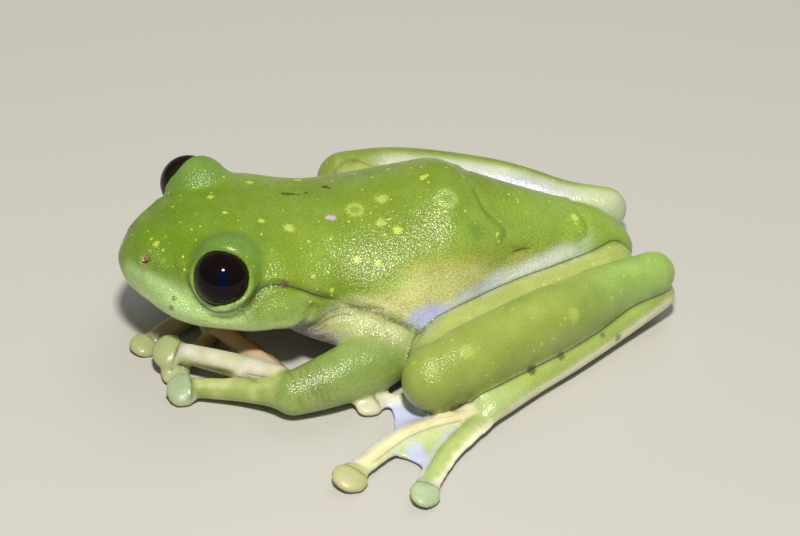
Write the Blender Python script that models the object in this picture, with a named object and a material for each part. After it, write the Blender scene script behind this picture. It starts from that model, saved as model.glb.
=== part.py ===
"""A big-eyed tree frog at rest, life size: a still display model made of closed solids.

The frog sits with its legs folded, its hands together under its chin and its left side towards -Y.
It faces -X and +Z is up. Lengths in the tables below are millimetres on a body 70 mm long from
snout to vent, and MM turns them into metres for the body length that is asked for.
"""

import bmesh
import bpy
import numpy as np
from mathutils import Matrix

# Driving sizes
SNOUT_TO_VENT = 0.070
MM = SNOUT_TO_VENT / 70
SEAM_MM = 0.3
EYEBALL_RADIUS = 3.65

# How finely the solids are faceted
BODY_RINGS = 48
BODY_SIDES = 36
LIMB_SIDES = 14
DIGIT_SIDES = 8
READINGS = 401
WELD_MM = 0.002
# Further out than any part of the frog, for the blocks that cut it
BEYOND = 120

# The body from snout to vent, one section a row: distance from the snout, half width, height of the
# back, height of the belly, height of the widest line, and how square the upper and lower halves are.
BODY = [
    (0.0, 0.0, 11.6, 11.6, 11.6, 2.0, 2.0),
    (0.5, 2.5, 13.0, 10.0, 11.1, 2.0, 2.0),
    (1.6, 4.6, 14.4, 9.0, 10.5, 2.4, 2.0),
    (3.0, 6.6, 15.6, 8.3, 9.9, 2.4, 2.1),
    (5.0, 9.1, 16.5, 7.8, 9.3, 2.1, 2.2),
    (7.4, 11.2, 17.4, 7.5, 9.2, 2.4, 2.2),
    (10.5, 12.8, 18.1, 7.3, 9.4, 2.6, 2.2),
    (14.5, 14.0, 18.5, 7.0, 9.4, 2.5, 2.2),
    (18.5, 13.9, 18.5, 6.4, 9.2, 2.4, 2.2),
    (22.0, 13.1, 18.2, 5.2, 9.1, 2.2, 2.2),
    (26.0, 12.8, 18.0, 3.2, 8.6, 2.05, 2.1),
    (30.0, 14.2, 18.2, 1.4, 7.8, 1.85, 2.1),
    (34.5, 15.6, 18.6, 0.2, 7.0, 1.75, 2.1),
    (38.5, 15.0, 19.8, -0.4, 6.8, 1.7, 2.1),
    (42.5, 13.2, 20.6, -0.4, 7.0, 1.75, 2.1),
    (46.5, 11.0, 18.7, 0.0, 7.3, 1.75, 2.0),
    (51.5, 8.9, 16.4, 0.6, 7.5, 1.8, 2.0),
    (56.5, 7.6, 14.2, 1.2, 7.2, 1.85, 2.0),
    (61.3, 6.4, 12.2, 1.8, 6.6, 1.9, 2.0),
    (65.0, 5.1, 10.4, 2.6, 6.1, 2.0, 2.0),
    (67.7, 3.3, 8.3, 3.8, 5.7, 2.0, 2.0),
    (69.0, 0.0, 5.8, 5.8, 5.8, 2.0, 2.0),
]
NECK_X = 24.0

# Eyes: the ball, the mound of skin over it, and the ring of the lids. Left has y below zero.
EYE_CENTRE = (11.2, 10.7, 15.3)
EYE_AXIS = (-0.42, 0.87, 0.26)
MOUND_CENTRE = (12.2, 9.0, 15.7)
MOUND_RADIUS = 4.3
LID_REACH = 0.95
LID_TILT = 0.5
LID_BACK = 4.2
LID_FLOOR = 0.5
EYE_OPENING = 0.4
# The ring of the lids in section: along the eye's axis, out from it, and the share of the rim's reach.
LID_PROFILE = [
    (-3.2, 2.4, 0.0),
    (-2.0, 3.6, 0.2),
    (-0.9, 4.15, 0.7),
    (-0.3, 4.15, 1.0),
    (0.0, 3.95, 1.0),
    (0.0, 3.6, 1.0),
    (-0.4, 2.8, 0.8),
]

# Limbs, one section a row: place of the centre, half width and half height. All are for the left
# side with y below zero, and the right side mirrors them unless it has a table of its own.
THIGH = [
    (64.0, -4.2, 5.4, 3.9, 3.9),
    (57.5, -7.0, 4.7, 4.4, 4.3),
    (51.0, -9.2, 4.5, 4.3, 4.2),
    (45.0, -12.6, 4.8, 4.0, 4.0),
    (39.5, -17.2, 5.4, 3.7, 3.9),
    (36.6, -20.8, 5.9, 3.5, 3.8),
]
SHANK = [
    (35.4, -23.6, 5.5, 3.9, 4.3),
    (42.2, -20.9, 5.9, 4.2, 4.8),
    (51.0, -16.7, 6.1, 4.3, 5.1),
    (56.7, -13.9, 6.0, 3.9, 4.7),
    (63.2, -10.4, 6.0, 3.2, 3.7),
    (69.0, -8.7, 6.6, 2.9, 3.2),
]
RIGHT_THIGH = [
    (64.0, 4.2, 5.2, 3.9, 3.7),
    (57.5, 7.0, 4.5, 4.4, 4.0),
    (51.0, 9.6, 4.3, 4.3, 4.0),
    (45.0, 13.4, 4.5, 4.0, 3.9),
    (39.5, 18.0, 4.8, 3.7, 3.9),
    (36.2, 20.8, 5.2, 3.6, 3.9),
]
RIGHT_SHANK = [
    (35.4, 22.6, 5.0, 3.7, 4.0),
    (42.2, 20.6, 5.6, 4.0, 4.5),
    (51.0, 16.6, 5.6, 4.1, 4.8),
    (56.7, 13.9, 5.5, 3.7, 4.5),
    (62.8, 10.8, 5.2, 3.1, 3.6),
    (68.2, 9.3, 4.9, 2.8, 3.2),
]
TARSUS = [
    (70.0, -9.3, 3.8, 2.0, 2.4),
    (62.6, -13.4, 2.6, 2.2, 2.2),
    (55.1, -18.1, 2.3, 2.3, 2.1),
    (48.2, -22.3, 2.1, 2.2, 2.0),
    (42.3, -26.1, 1.9, 2.3, 1.8),
]
RIGHT_TARSUS = [
    (68.6, 9.6, 3.2, 2.0, 2.4),
    (62.4, 13.2, 2.6, 2.2, 2.2),
    (55.1, 17.8, 2.3, 2.3, 2.1),
    (48.4, 22.0, 2.1, 2.2, 2.0),
    (43.0, 25.0, 1.9, 2.4, 1.8),
]
UPPER_ARM = [
    (22.0, -9.0, 7.6, 3.0, 3.0),
    (27.0, -12.0, 6.9, 3.1, 3.2),
    (32.6, -15.2, 5.4, 3.2, 3.3),
]
FOREARM = [
    (33.0, -15.4, 4.2, 3.4, 3.4),
    (28.4, -17.2, 3.85, 3.8, 3.9),
    (23.0, -19.2, 3.6, 3.4, 3.4),
    (18.4, -20.2, 3.1, 2.8, 2.9),
]
RIGHT_FOREARM = [
    (33.0, 15.4, 4.2, 3.4, 3.4),
    (29.0, 12.6, 3.9, 3.6, 3.6),
    (24.0, 9.4, 3.4, 3.2, 3.3),
    (20.0, 6.8, 2.9, 2.7, 2.8),
]

# Digits: the shaft's centre line with its half width, then the disc's centre, its half length, half
# width and half height. The last number is how far the disc leans over, in degrees.
LEFT_HAND = {
    "1": (
        [(18.2, -17.0, 2.6, 1.5), (17.0, -11.5, 1.9, 1.2), (15.8, -7.2, 1.2, 1.0)],
        (15.3, -5.8, 0.8, 1.7, 1.5, 0.9),
        0,
    ),
    "2": (
        [(17.4, -17.4, 3.0, 1.8), (14.8, -10.6, 3.0, 1.4), (12.0, -5.6, 3.4, 1.2)],
        (11.2, -4.2, 3.5, 2.0, 1.8, 0.9),
        0,
    ),
    "3": (
        [(17.0, -17.2, 3.2, 2.1), (13.0, -13.4, 3.1, 1.7), (6.9, -9.4, 3.1, 1.45)],
        (4.9, -8.2, 3.1, 2.3, 2.6, 1.0),
        25,
    ),
    "4": (
        [(17.2, -19.6, 2.8, 2.0), (12.5, -17.0, 2.1, 1.6), (7.3, -14.8, 1.6, 1.4)],
        (5.4, -14.5, 1.5, 2.2, 2.6, 1.0),
        25,
    ),
}
RIGHT_HAND = {
    "1": (
        [(18.2, 4.2, 2.2, 1.4), (16.6, 1.0, 1.4, 1.1), (15.2, -1.6, 1.1, 1.0)],
        (14.6, -2.8, 0.8, 1.7, 1.5, 0.9),
        0,
    ),
    "2": (
        [(18.0, 4.0, 2.3, 1.6), (11.6, -3.6, 1.4, 1.2), (6.8, -9.0, 1.2, 1.1)],
        (5.4, -10.5, 0.9, 2.1, 2.1, 0.9),
        5,
    ),
    "3": (
        [(18.0, 5.2, 2.5, 2.0), (10.6, 0.8, 1.7, 1.5), (4.7, -2.5, 1.3, 1.3)],
        (2.7, -3.7, 1.0, 2.1, 2.1, 1.0),
        15,
    ),
    "4": (
        [(18.4, 6.8, 2.4, 1.9), (14.6, 5.4, 1.7, 1.5), (11.0, 4.0, 1.3, 1.3)],
        (9.2, 3.4, 1.0, 2.0, 2.0, 1.0),
        -10,
    ),
}
# The palm, from the wrist to the roots of the fingers.
LEFT_PALM = [(19.6, -20.3, 3.1, 2.6, 2.6), (16.8, -18.6, 2.8, 2.8, 2.2)]
RIGHT_PALM = [(20.2, 6.9, 2.9, 2.4, 2.4), (17.8, 5.4, 2.5, 2.5, 2.0)]
LEFT_FOOT = {
    "1": (
        [(41.6, -25.4, 1.2, 1.2), (40.2, -23.0, 0.8, 0.9), (39.2, -21.2, 0.6, 0.7)],
        (38.7, -20.3, 0.5, 1.4, 1.2, 0.5),
        0,
    ),
    "2": (
        [(40.8, -26.0, 1.3, 1.3), (38.0, -22.8, 0.9, 1.0), (35.8, -20.8, 0.7, 0.8)],
        (35.0, -20.1, 0.6, 1.6, 1.4, 0.6),
        0,
    ),
    "3": (
        [(40.6, -26.6, 1.5, 1.4), (35.2, -22.1, 1.2, 1.2), (30.4, -20.8, 1.0, 1.1)],
        (27.9, -21.6, 1.0, 2.0, 1.8, 0.9),
        10,
    ),
    "4": (
        [(41.4, -26.6, 1.8, 1.8), (31.7, -28.3, 1.5, 1.6), (24.1, -33.2, 1.3, 1.5)],
        (22.0, -35.4, 1.2, 2.4, 2.5, 1.1),
        15,
    ),
    "5": (
        [(41.6, -27.0, 1.7, 1.7), (35.6, -32.2, 1.4, 1.6), (31.5, -37.6, 1.2, 1.45)],
        (30.3, -40.0, 1.1, 2.6, 2.1, 1.0),
        15,
    ),
}
RIGHT_FOOT = {
    "1": (
        [(42.8, 23.8, 1.2, 1.2), (41.0, 21.4, 0.8, 0.9), (39.6, 19.6, 0.6, 0.7)],
        (39.0, 18.9, 0.5, 1.4, 1.2, 0.5),
        0,
    ),
    "2": (
        [(42.4, 24.0, 1.3, 1.3), (38.2, 20.8, 0.9, 1.0), (35.6, 18.6, 0.7, 0.8)],
        (34.9, 18.0, 0.6, 1.6, 1.4, 0.6),
        0,
    ),
    "3": (
        [(42.2, 24.4, 1.5, 1.4), (36.0, 21.0, 1.1, 1.2), (31.8, 18.8, 1.0, 1.1)],
        (30.2, 18.0, 1.0, 1.9, 1.7, 0.9),
        0,
    ),
    "4": (
        [(42.2, 25.2, 1.8, 1.8), (34.6, 23.8, 1.4, 1.6), (28.4, 21.6, 1.2, 1.5)],
        (26.2, 20.8, 1.2, 2.4, 2.4, 1.1),
        -10,
    ),
    "5": (
        [(42.4, 26.0, 1.7, 1.7), (38.0, 27.4, 1.4, 1.6), (34.0, 26.6, 1.2, 1.45)],
        (31.8, 26.0, 1.1, 2.4, 2.1, 1.0),
        -10,
    ),
}
# How far along each pair of toes the web between them reaches, and how deeply its edge is scooped.
TOE_WEBS = [
    ("5", "4", 0.97, 0.86, 0.16),
    ("4", "3", 0.8, 0.98, 0.12),
    ("3", "2", 0.7, 0.8, 0.2),
    ("2", "1", 0.7, 0.8, 0.2),
]
WEB_THICKNESS = 0.55
WEB_LOWEST = 0.62
WEB_SAG = 1.6
WEB_FACETS = 6
WEB_READINGS = 25

# Lines on the head, given by the distance from the snout and the angle round the section, in
# degrees above the widest line.
MOUTH = [(21.5, -8), (16.0, -16), (10.0, -20), (5.0, -26), (2.2, -40), (1.2, -64)]
MOUTH_DEPTH = 0.3
# The crease that runs from the back of the eye over the cheek, on the left side.
CHEEK_CREASE = [
    (13.9, -13.5, 12.6),
    (16.1, -12.6, 14.4),
    (18.2, -12.4, 14.4),
    (20.8, -12.4, 13.3),
    (23.4, -12.4, 11.9),
    (25.6, -12.5, 11.1),
]
NOSTRIL = (2.8, 4.0, 14.5)
NOSTRIL_RADIUS = 0.42


def spline(rows, count, closed_start=False, closed_end=False, flips=()):
    """A smooth curve through the rows, read at count places: each span is a cubic whose slope at a
    row is half the step between its neighbours. At a pole the row before it is its mirror image,
    with the columns named in flips turned round, so that the shape is rounded there."""
    rows = np.array(rows, float)
    first = 2 * rows[0] - rows[1]
    last = 2 * rows[-1] - rows[-2]
    if closed_start:
        first = mirrored(rows[1], flips)
    if closed_end:
        last = mirrored(rows[-2], flips)
    rows = np.vstack([first, rows, last])
    place = np.linspace(0, len(rows) - 3, count)
    span = np.minimum(place.astype(int), len(rows) - 4)
    t = (place - span)[:, None]
    a, b, c, d = (rows[span + k] for k in range(4))
    return 0.5 * (
        2 * b + (c - a) * t + (2 * a - 5 * b + 4 * c - d) * t**2 + (3 * b - a - 3 * c + d) * t**3
    )


def mirrored(row, flips):
    row = row.copy()
    for column, sign in flips:
        row[column] = sign * row[column]
    return row


def power(value, exponent):
    return np.sign(value) * np.abs(value) ** exponent


def mesh_object(name, points, faces):
    """A mesh object from points in millimetres, with its faces turned to point outwards."""
    mesh = bpy.data.meshes.new(name)
    mesh.from_pydata((np.asarray(points) * MM).tolist(), [], faces)
    built = bmesh.new()
    built.from_mesh(mesh)
    bmesh.ops.recalc_face_normals(built, faces=built.faces)
    built.to_mesh(mesh)
    built.free()
    obj = bpy.data.objects.new(name, mesh)
    bpy.context.scene.collection.objects.link(obj)
    return obj


def loft(name, rings, first_pole, last_pole):
    """A closed skin over rings of equally many points, drawn together to a pole at each end."""
    count, sides = rings.shape[:2]
    points = np.vstack([rings.reshape(-1, 3), [first_pole], [last_pole]])
    faces = []
    for ring in range(count - 1):
        for side in range(sides):
            after = (side + 1) % sides
            low, high = ring * sides, (ring + 1) * sides
            faces.append((low + side, low + after, high + after, high + side))
    start, end, top = count * sides, count * sides + 1, (count - 1) * sides
    for side in range(sides):
        after = (side + 1) % sides
        faces.append((start, after, side))
        faces.append((end, top + side, top + after))
    return mesh_object(name, points, faces)


def body_sections(count):
    """The rows of BODY read smoothly, with the snout and the rump rounded off."""
    return spline(BODY, count, True, True, flips=((1, -1),))


def body_solid(name, grow=0.0):
    """Head and torso in one: each section is a superellipse, squarer where its exponent is higher."""
    rows = body_sections(BODY_RINGS)[1:-1]
    turn = np.linspace(0, 2 * np.pi, BODY_SIDES, endpoint=False)
    x, half, top, bottom, widest, upper, lower = (rows[:, k, None] for k in range(7))
    half, top, bottom = half + grow, top + grow, bottom - grow
    over = np.sin(turn)[None] >= 0
    squareness = np.where(over, upper, lower)
    y = half * power(np.cos(turn)[None], 2 / squareness)
    reach = np.where(over, top - widest, widest - bottom)
    z = widest + reach * power(np.sin(turn)[None], 2 / squareness)
    rings = np.stack([x + 0 * y, y, z], axis=-1)
    tip, tail = BODY[0], BODY[-1]
    return loft(name, rings, (tip[0], 0, tip[2]), (tail[0], 0, tail[2]))


def limb(name, rows, rings, sides, caps=(1.0, 1.0), steps=(35, 65)):
    """A fleshy tube along the rows' centres with an elliptic section, rounded at both ends."""
    rows = spline(rows, rings)
    centres, radii = rows[:, :3], rows[:, 3:5]
    along = np.gradient(centres, axis=0)
    along /= np.linalg.norm(along, axis=1)[:, None]
    across = np.cross(along, (0, 0, 1))
    across /= np.linalg.norm(across, axis=1)[:, None]
    upward = np.cross(across, along)
    steps = np.radians(steps)
    first = centres[0], -along[0], across[0], upward[0], radii[0], caps[0]
    last = centres[-1], along[-1], across[-1], upward[-1], radii[-1], caps[1]
    frames = [cap_ring(*first, angle) for angle in steps[::-1]]
    frames += zip(centres, across, upward, radii)
    frames += [cap_ring(*last, angle) for angle in steps]
    turn = np.linspace(0, 2 * np.pi, sides, endpoint=False)[:, None]
    rings = np.array(
        [c + np.cos(turn) * a * r[0] + np.sin(turn) * u * r[1] for c, a, u, r in frames]
    )
    reach_start, reach_end = caps[0] * radii[0].mean(), caps[1] * radii[-1].mean()
    return loft(name, rings, centres[0] - along[0] * reach_start, centres[-1] + along[-1] * reach_end)


def cap_ring(centre, outward, across, upward, radii, bulge, angle):
    """One ring of a rounded end: it lies further out and is smaller as the angle grows."""
    return (
        centre + outward * bulge * radii.mean() * np.sin(angle),
        across,
        upward,
        radii * np.cos(angle),
    )


def mirror_rows(rows):
    return [(row[0], -row[1], *row[2:]) for row in rows]


def ellipsoid(name, centre, along, radii, lean=0, sides=10, rings=5, grow=0.0):
    """A closed ellipsoid whose first radius lies along a direction, leant over round it."""
    along = np.array(along, float) / np.linalg.norm(along)
    across = np.cross(along, (0, 0, 1))
    across /= np.linalg.norm(across)
    upward = np.cross(across, along)
    lean = np.radians(lean)
    across, upward = (
        across * np.cos(lean) + upward * np.sin(lean),
        upward * np.cos(lean) - across * np.sin(lean),
    )
    a, b, c = (radius + grow for radius in radii)
    down = np.linspace(0, np.pi, rings + 2)[1:-1, None, None]
    turn = np.linspace(0, 2 * np.pi, sides, endpoint=False)[None, :, None]
    points = (
        np.array(centre)
        - along * a * np.cos(down)
        + np.sin(down) * (across * b * np.cos(turn) + upward * c * np.sin(turn))
    )
    return loft(name, points, np.array(centre) - along * a, np.array(centre) + along * a)


def digit_pieces(name, digit, grow=0.0):
    """A finger or toe: a tapering shaft and the disc at its tip."""
    shaft, disc, lean = digit
    rows = [(x, y, z, half + grow, half * 0.92 + grow) for x, y, z, half in shaft]
    direction = np.subtract(disc[:3], shaft[-1][:3]) * (1, 1, 0.3)
    return [
        limb(name + "_shaft", rows, 6, DIGIT_SIDES, caps=(0.8, 0.6), steps=(45,)),
        ellipsoid(name + "_disc", disc[:3], direction, disc[3:], lean, grow=grow),
    ]


def point_along(line, share):
    """The point at a share of the way along a row of points."""
    place = share * (len(line) - 1)
    return np.array([np.interp(place, range(len(line)), line[:, k]) for k in range(3)])


def web(name, first, second, reach_first, reach_second, scoop):
    """The web between two digits: a closed sheet from their roots out to a scooped edge."""
    lines = [spline(line, WEB_READINGS)[:, :3] for line in (first, second)]
    steps = np.linspace(0, 1, WEB_FACETS + 1)
    top = np.zeros((len(steps), len(steps), 3))
    for i, s in enumerate(steps):
        reach = (reach_first * (1 - s) + reach_second * s) * (1 - 4 * scoop * s * (1 - s))
        for j, t in enumerate(steps):
            a, b = (point_along(line, t * reach) for line in lines)
            top[j, i] = a * (1 - s) + b * s
            top[j, i, 2] = max(WEB_LOWEST, top[j, i, 2] * (1 - WEB_SAG * s * (1 - s)))
    under = top - (0, 0, WEB_THICKNESS)
    return slab(name, top, under)


def slab(name, top, under):
    """A closed sheet between two grids of points."""
    rows, columns = top.shape[:2]
    points = np.vstack([top.reshape(-1, 3), under.reshape(-1, 3)])
    half = rows * columns
    faces = []
    for r in range(rows - 1):
        for c in range(columns - 1):
            a, b = r * columns + c, r * columns + c + 1
            d, e = a + columns, b + columns
            faces += [(a, b, e), (a, e, d), (half + a, half + e, half + b), (half + a, half + d, half + e)]
    rim = list(range(columns))
    rim += [r * columns + columns - 1 for r in range(1, rows)]
    rim += [(rows - 1) * columns + c for c in range(columns - 2, -1, -1)]
    rim += [r * columns for r in range(rows - 2, 0, -1)]
    for a, b in zip(rim, rim[1:] + rim[:1]):
        faces.append((a, b, half + b, half + a))
    return mesh_object(name, points, faces)


def box(name, low=(-BEYOND,) * 3, high=(BEYOND,) * 3):
    """A closed box between two corners, reaching past the frog where no corner is given."""
    corners = [(x, y, z) for x in (low[0], high[0]) for y in (low[1], high[1]) for z in (low[2], high[2])]
    faces = [(0, 1, 3, 2), (4, 6, 7, 5), (0, 4, 5, 1), (2, 3, 7, 6), (0, 2, 6, 4), (1, 5, 7, 3)]
    return mesh_object(name, corners, faces)


def boolean(obj, operation, others):
    """Joins, cuts or keeps what obj shares with the other closed objects, which are used up."""
    group = bpy.data.collections.new(obj.name + "_others")
    for other in others:
        group.objects.link(other)
    modifier = obj.modifiers.new("boolean", "BOOLEAN")
    modifier.operation = operation
    modifier.operand_type = "COLLECTION"
    modifier.collection = group
    modifier.solver = "MANIFOLD"
    bpy.context.view_layer.update()
    graph = bpy.context.evaluated_depsgraph_get()
    mesh = bpy.data.meshes.new_from_object(obj.evaluated_get(graph))
    obj.modifiers.clear()
    obj.data = mesh
    for other in others:
        bpy.data.objects.remove(other)
    bpy.data.collections.remove(group)
    return obj


def largest_shell(obj):
    """Keeps only the closed surface that holds the most, and welds points that fall together."""
    built = bmesh.new()
    built.from_mesh(obj.data)
    bmesh.ops.remove_doubles(built, verts=built.verts, dist=WELD_MM * MM)
    bmesh.ops.triangulate(built, faces=built.faces)
    left = set(built.faces)
    shells = []
    while left:
        shell, front = set(), [left.pop()]
        while front:
            face = front.pop()
            shell.add(face)
            for edge in face.edges:
                for other in edge.link_faces:
                    if other in left:
                        left.discard(other)
                        front.append(other)
        shells.append(shell)
    shells.sort(key=lambda shell: abs(volume_of(shell)))
    for shell in shells[:-1]:
        bmesh.ops.delete(built, geom=list(shell), context="FACES")
    loose = [vert for vert in built.verts if not vert.link_faces]
    bmesh.ops.delete(built, geom=loose, context="VERTS")
    bmesh.ops.recalc_face_normals(built, faces=built.faces)
    built.to_mesh(obj.data)
    built.free()
    return obj


def volume_of(faces):
    total = 0.0
    for face in faces:
        a, b, c = (vert.co for vert in face.verts)
        total += a.dot(b.cross(c)) / 6
    return total


def on_body(x, angle, rows):
    """The point on the body's surface at a distance from the snout and an angle round its section."""
    half, top, bottom, widest, upper, lower = (np.interp(x, rows[:, 0], rows[:, k]) for k in range(1, 7))
    squareness = upper if angle >= 0 else lower
    reach = top - widest if angle >= 0 else widest - bottom
    turn = np.radians(angle)
    y = half * power(np.cos(turn), 2 / squareness)
    return np.array([x, -y, widest + reach * power(np.sin(turn), 2 / squareness)])


def eye_frame(side):
    """Where the eyeball sits and which way it looks, for side -1 on the left and 1 on the right."""
    centre = np.array(EYE_CENTRE) * (1, side, 1)
    axis = np.array(EYE_AXIS) * (1, side, 1)
    return centre, axis / np.linalg.norm(axis)


def lid_pieces(side):
    """The mound of skin over the eyeball and the ring of the lids round its opening."""
    centre, axis = eye_frame(side)
    across = np.cross(axis, (0, 0, 1))
    across /= np.linalg.norm(across)
    upward = np.cross(across, axis)
    turn = np.linspace(0, 2 * np.pi, 22, endpoint=False)[:, None]
    rim = LID_REACH - LID_TILT * np.sin(turn)
    rings = np.array(
        [
            centre + axis * (a + rim * share) + r * (across * np.cos(turn) + upward * np.sin(turn))
            for a, r, share in LID_PROFILE
        ]
    )
    ring = loft("lid", rings, centre - axis * LID_BACK, centre - axis * LID_FLOOR)
    mound_centre = np.array(MOUND_CENTRE) * (1, side, 1)
    mound = ellipsoid("mound", mound_centre, -axis, (MOUND_RADIUS,) * 3, sides=22, rings=11)
    round_it = 2 * MOUND_RADIUS * (across * np.cos(turn) + upward * np.sin(turn))
    near, far = centre + axis * EYE_OPENING, centre + axis * 2 * MOUND_RADIUS
    window = loft("window", np.array([near + round_it, far + round_it]), near, far)
    boolean(mound, "DIFFERENCE", [window])
    return [ring, mound]


def eyeball(name, side, grow=0.0):
    centre, axis = eye_frame(side)
    return ellipsoid(name, centre, axis, (EYEBALL_RADIUS,) * 3, sides=20, rings=10, grow=grow)


def mouth_groove():
    """A thin tube along the line of the mouth, from one corner round the snout to the other."""
    rows = body_sections(READINGS)
    side = np.array([on_body(x, angle, rows) for x, angle in MOUTH])
    line = np.vstack([side, [side[-1] * (1, 0, 1) - (0.15, 0, 0.1)], side[::-1] * (1, -1, 1)])
    table = [(*point, MOUTH_DEPTH, MOUTH_DEPTH) for point in line]
    return limb("mouth", table, 31, 5, steps=(45,))


def cheek_crease(side):
    """A thin tube along the crease over the cheek, thinnest at its ends."""
    widths = (0.12, 0.3, 0.38, 0.34, 0.28, 0.12)
    line = [(x, -side * y, z, width, width) for (x, y, z), width in zip(CHEEK_CREASE, widths)]
    return limb("crease", line, 13, 5, steps=(45,))


def head():
    """The front of the body with lids, eye sockets, the line of the mouth and nostrils."""
    solid = body_solid("head")
    boolean(solid, "DIFFERENCE", [box("back", low=(NECK_X - SEAM_MM / 2, -BEYOND, -BEYOND))])
    for side in (-1, 1):
        boolean(solid, "UNION", lid_pieces(side))
    holes = [mouth_groove()]
    for side in (-1, 1):
        holes.append(eyeball("socket", side, SEAM_MM))
        holes.append(cheek_crease(side))
        place = np.array(NOSTRIL) * (1, side, 1)
        holes.append(ellipsoid("nostril", place, (1, side, 0), (NOSTRIL_RADIUS,) * 3, sides=8, rings=5))
    for hole in holes:
        boolean(solid, "DIFFERENCE", [hole])
    return solid


def torso():
    solid = body_solid("torso")
    return boolean(solid, "DIFFERENCE", [box("front", high=(NECK_X + SEAM_MM / 2, BEYOND, BEYOND))])


def pieces_of(node, grow=0.0):
    """The closed pieces that make up a limb's node, swollen by grow all round."""
    part, side = node.rsplit("_", 1)
    turn = mirror_rows if side == "right" else list
    grown = lambda rows: [(*row[:3], *(radius + grow for radius in row[3:])) for row in rows]
    if part == "thigh":
        return [limb(node, grown(RIGHT_THIGH if side == "right" else THIGH), 11, LIMB_SIDES)]
    if part == "shank":
        return [limb(node, grown(RIGHT_SHANK if side == "right" else SHANK), 11, LIMB_SIDES)]
    if part == "upper_arm":
        return [limb(node, grown(turn(UPPER_ARM)), 7, LIMB_SIDES)]
    if part == "forearm":
        return [limb(node, grown(RIGHT_FOREARM if side == "right" else FOREARM), 8, LIMB_SIDES)]
    if part == "hand":
        digits = RIGHT_HAND if side == "right" else LEFT_HAND
    else:
        digits = RIGHT_FOOT if side == "right" else LEFT_FOOT
    made = []
    if part == "foot":
        made.append(limb(node, grown(RIGHT_TARSUS if side == "right" else TARSUS), 11, 10))
    if part == "hand":
        made.append(limb(node, grown(RIGHT_PALM if side == "right" else LEFT_PALM), 4, 12))
    for key, digit in digits.items():
        made += digit_pieces(f"{node}_{key}", digit, grow)
    if part == "foot" and grow == 0:
        for first, second, reach_first, reach_second, scoop in TOE_WEBS:
            lines = [digits[key][0] for key in (first, second)]
            made.append(web(f"{node}_web", *lines, reach_first, reach_second, scoop))
    return made


# Each limb's node, and the nodes that it is cut clear of. A node stands after those.
CLEAR_OF = {
    "thigh": (),
    "shank": ("thigh",),
    "upper_arm": ("thigh", "shank"),
    "forearm": ("upper_arm", "shank", "thigh"),
    "foot": ("shank", "thigh", "forearm"),
    "hand": ("forearm", "foot"),
}


def limb_node(part, side):
    node = f"{part}_{side}"
    made = pieces_of(node)
    solid = made[0]
    if len(made) > 1:
        boolean(solid, "UNION", made[1:])
    solid.name = node
    cutters = [body_solid("body", SEAM_MM)]
    for other in CLEAR_OF[part]:
        cutters += pieces_of(f"{other}_{side}", SEAM_MM)
    if node == "hand_right":
        cutters += pieces_of("hand_left", SEAM_MM)
    for cutter in cutters:
        boolean(solid, "DIFFERENCE", [cutter])
    return solid


def main():
    for old in list(bpy.data.objects):
        bpy.data.objects.remove(old)
    nodes = [head(), torso()]
    for side, sign in (("left", -1), ("right", 1)):
        nodes.append(eyeball(f"eye_{side}", sign))
    for part in CLEAR_OF:
        for side in ("left", "right"):
            nodes.append(limb_node(part, side))
    for node in nodes:
        if not node.name.startswith("eye"):
            boolean(node, "DIFFERENCE", [box("floor", high=(BEYOND, BEYOND, 0))])
        largest_shell(node)
    corners = np.array([point for node in nodes for point in (vert.co for vert in node.data.vertices)])
    middle = (corners.min(0) + corners.max(0)) / 2
    for node in nodes:
        node.data.transform(Matrix.Translation((-middle[0], -middle[1], 0)))
        node.data.update()


main()
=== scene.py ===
# %% [markdown]
# # A big-eyed tree frog at rest
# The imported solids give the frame. One continuous skin stands for all the flesh, and two clear eyes
# sit in it. The solids could be dressed one by one, but a live frog has no joints in its skin, so the
# script works out one closed surface, folds it, colours it and gives it a wet finish.
# Lengths are millimetres on a body 70 mm long, with the snout's tip at x = 0, the midline at y = 0 and
# the floor at z = 0. The frog faces -X and its left side is at negative y.

import bpy
import numpy as np
from mathutils import Matrix, Vector
from mathutils.bvhtree import BVHTree
from mathutils.kdtree import KDTree


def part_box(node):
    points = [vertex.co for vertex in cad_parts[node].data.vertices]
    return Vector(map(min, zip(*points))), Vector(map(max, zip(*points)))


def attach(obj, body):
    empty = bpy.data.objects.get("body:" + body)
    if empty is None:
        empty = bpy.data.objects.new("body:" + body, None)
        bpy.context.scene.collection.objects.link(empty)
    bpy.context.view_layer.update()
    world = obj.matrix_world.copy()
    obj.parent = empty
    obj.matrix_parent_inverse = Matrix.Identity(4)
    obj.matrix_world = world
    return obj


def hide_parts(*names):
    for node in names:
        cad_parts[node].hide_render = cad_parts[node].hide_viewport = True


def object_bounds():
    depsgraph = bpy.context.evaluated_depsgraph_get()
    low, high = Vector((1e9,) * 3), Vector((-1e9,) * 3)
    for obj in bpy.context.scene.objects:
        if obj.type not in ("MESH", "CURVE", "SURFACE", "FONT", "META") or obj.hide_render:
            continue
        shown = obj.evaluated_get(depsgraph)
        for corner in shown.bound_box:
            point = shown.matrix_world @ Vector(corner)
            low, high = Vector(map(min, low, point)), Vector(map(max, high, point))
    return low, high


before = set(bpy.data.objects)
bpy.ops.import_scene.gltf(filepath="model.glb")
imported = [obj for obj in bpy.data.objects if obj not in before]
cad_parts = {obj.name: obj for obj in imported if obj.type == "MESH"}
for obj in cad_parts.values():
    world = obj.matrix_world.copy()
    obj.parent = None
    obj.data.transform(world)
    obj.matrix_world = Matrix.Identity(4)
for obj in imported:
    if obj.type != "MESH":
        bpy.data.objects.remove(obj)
cad_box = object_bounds()

MM = 0.001
EYE_CENTRE = (11.2, 10.7, 15.3)
eye_low, eye_high = (np.array(corner, float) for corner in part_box("eye_left"))
ORIGIN = (eye_low + eye_high) / 2 - np.array(EYE_CENTRE) * (1, -1, 1) * MM

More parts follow.
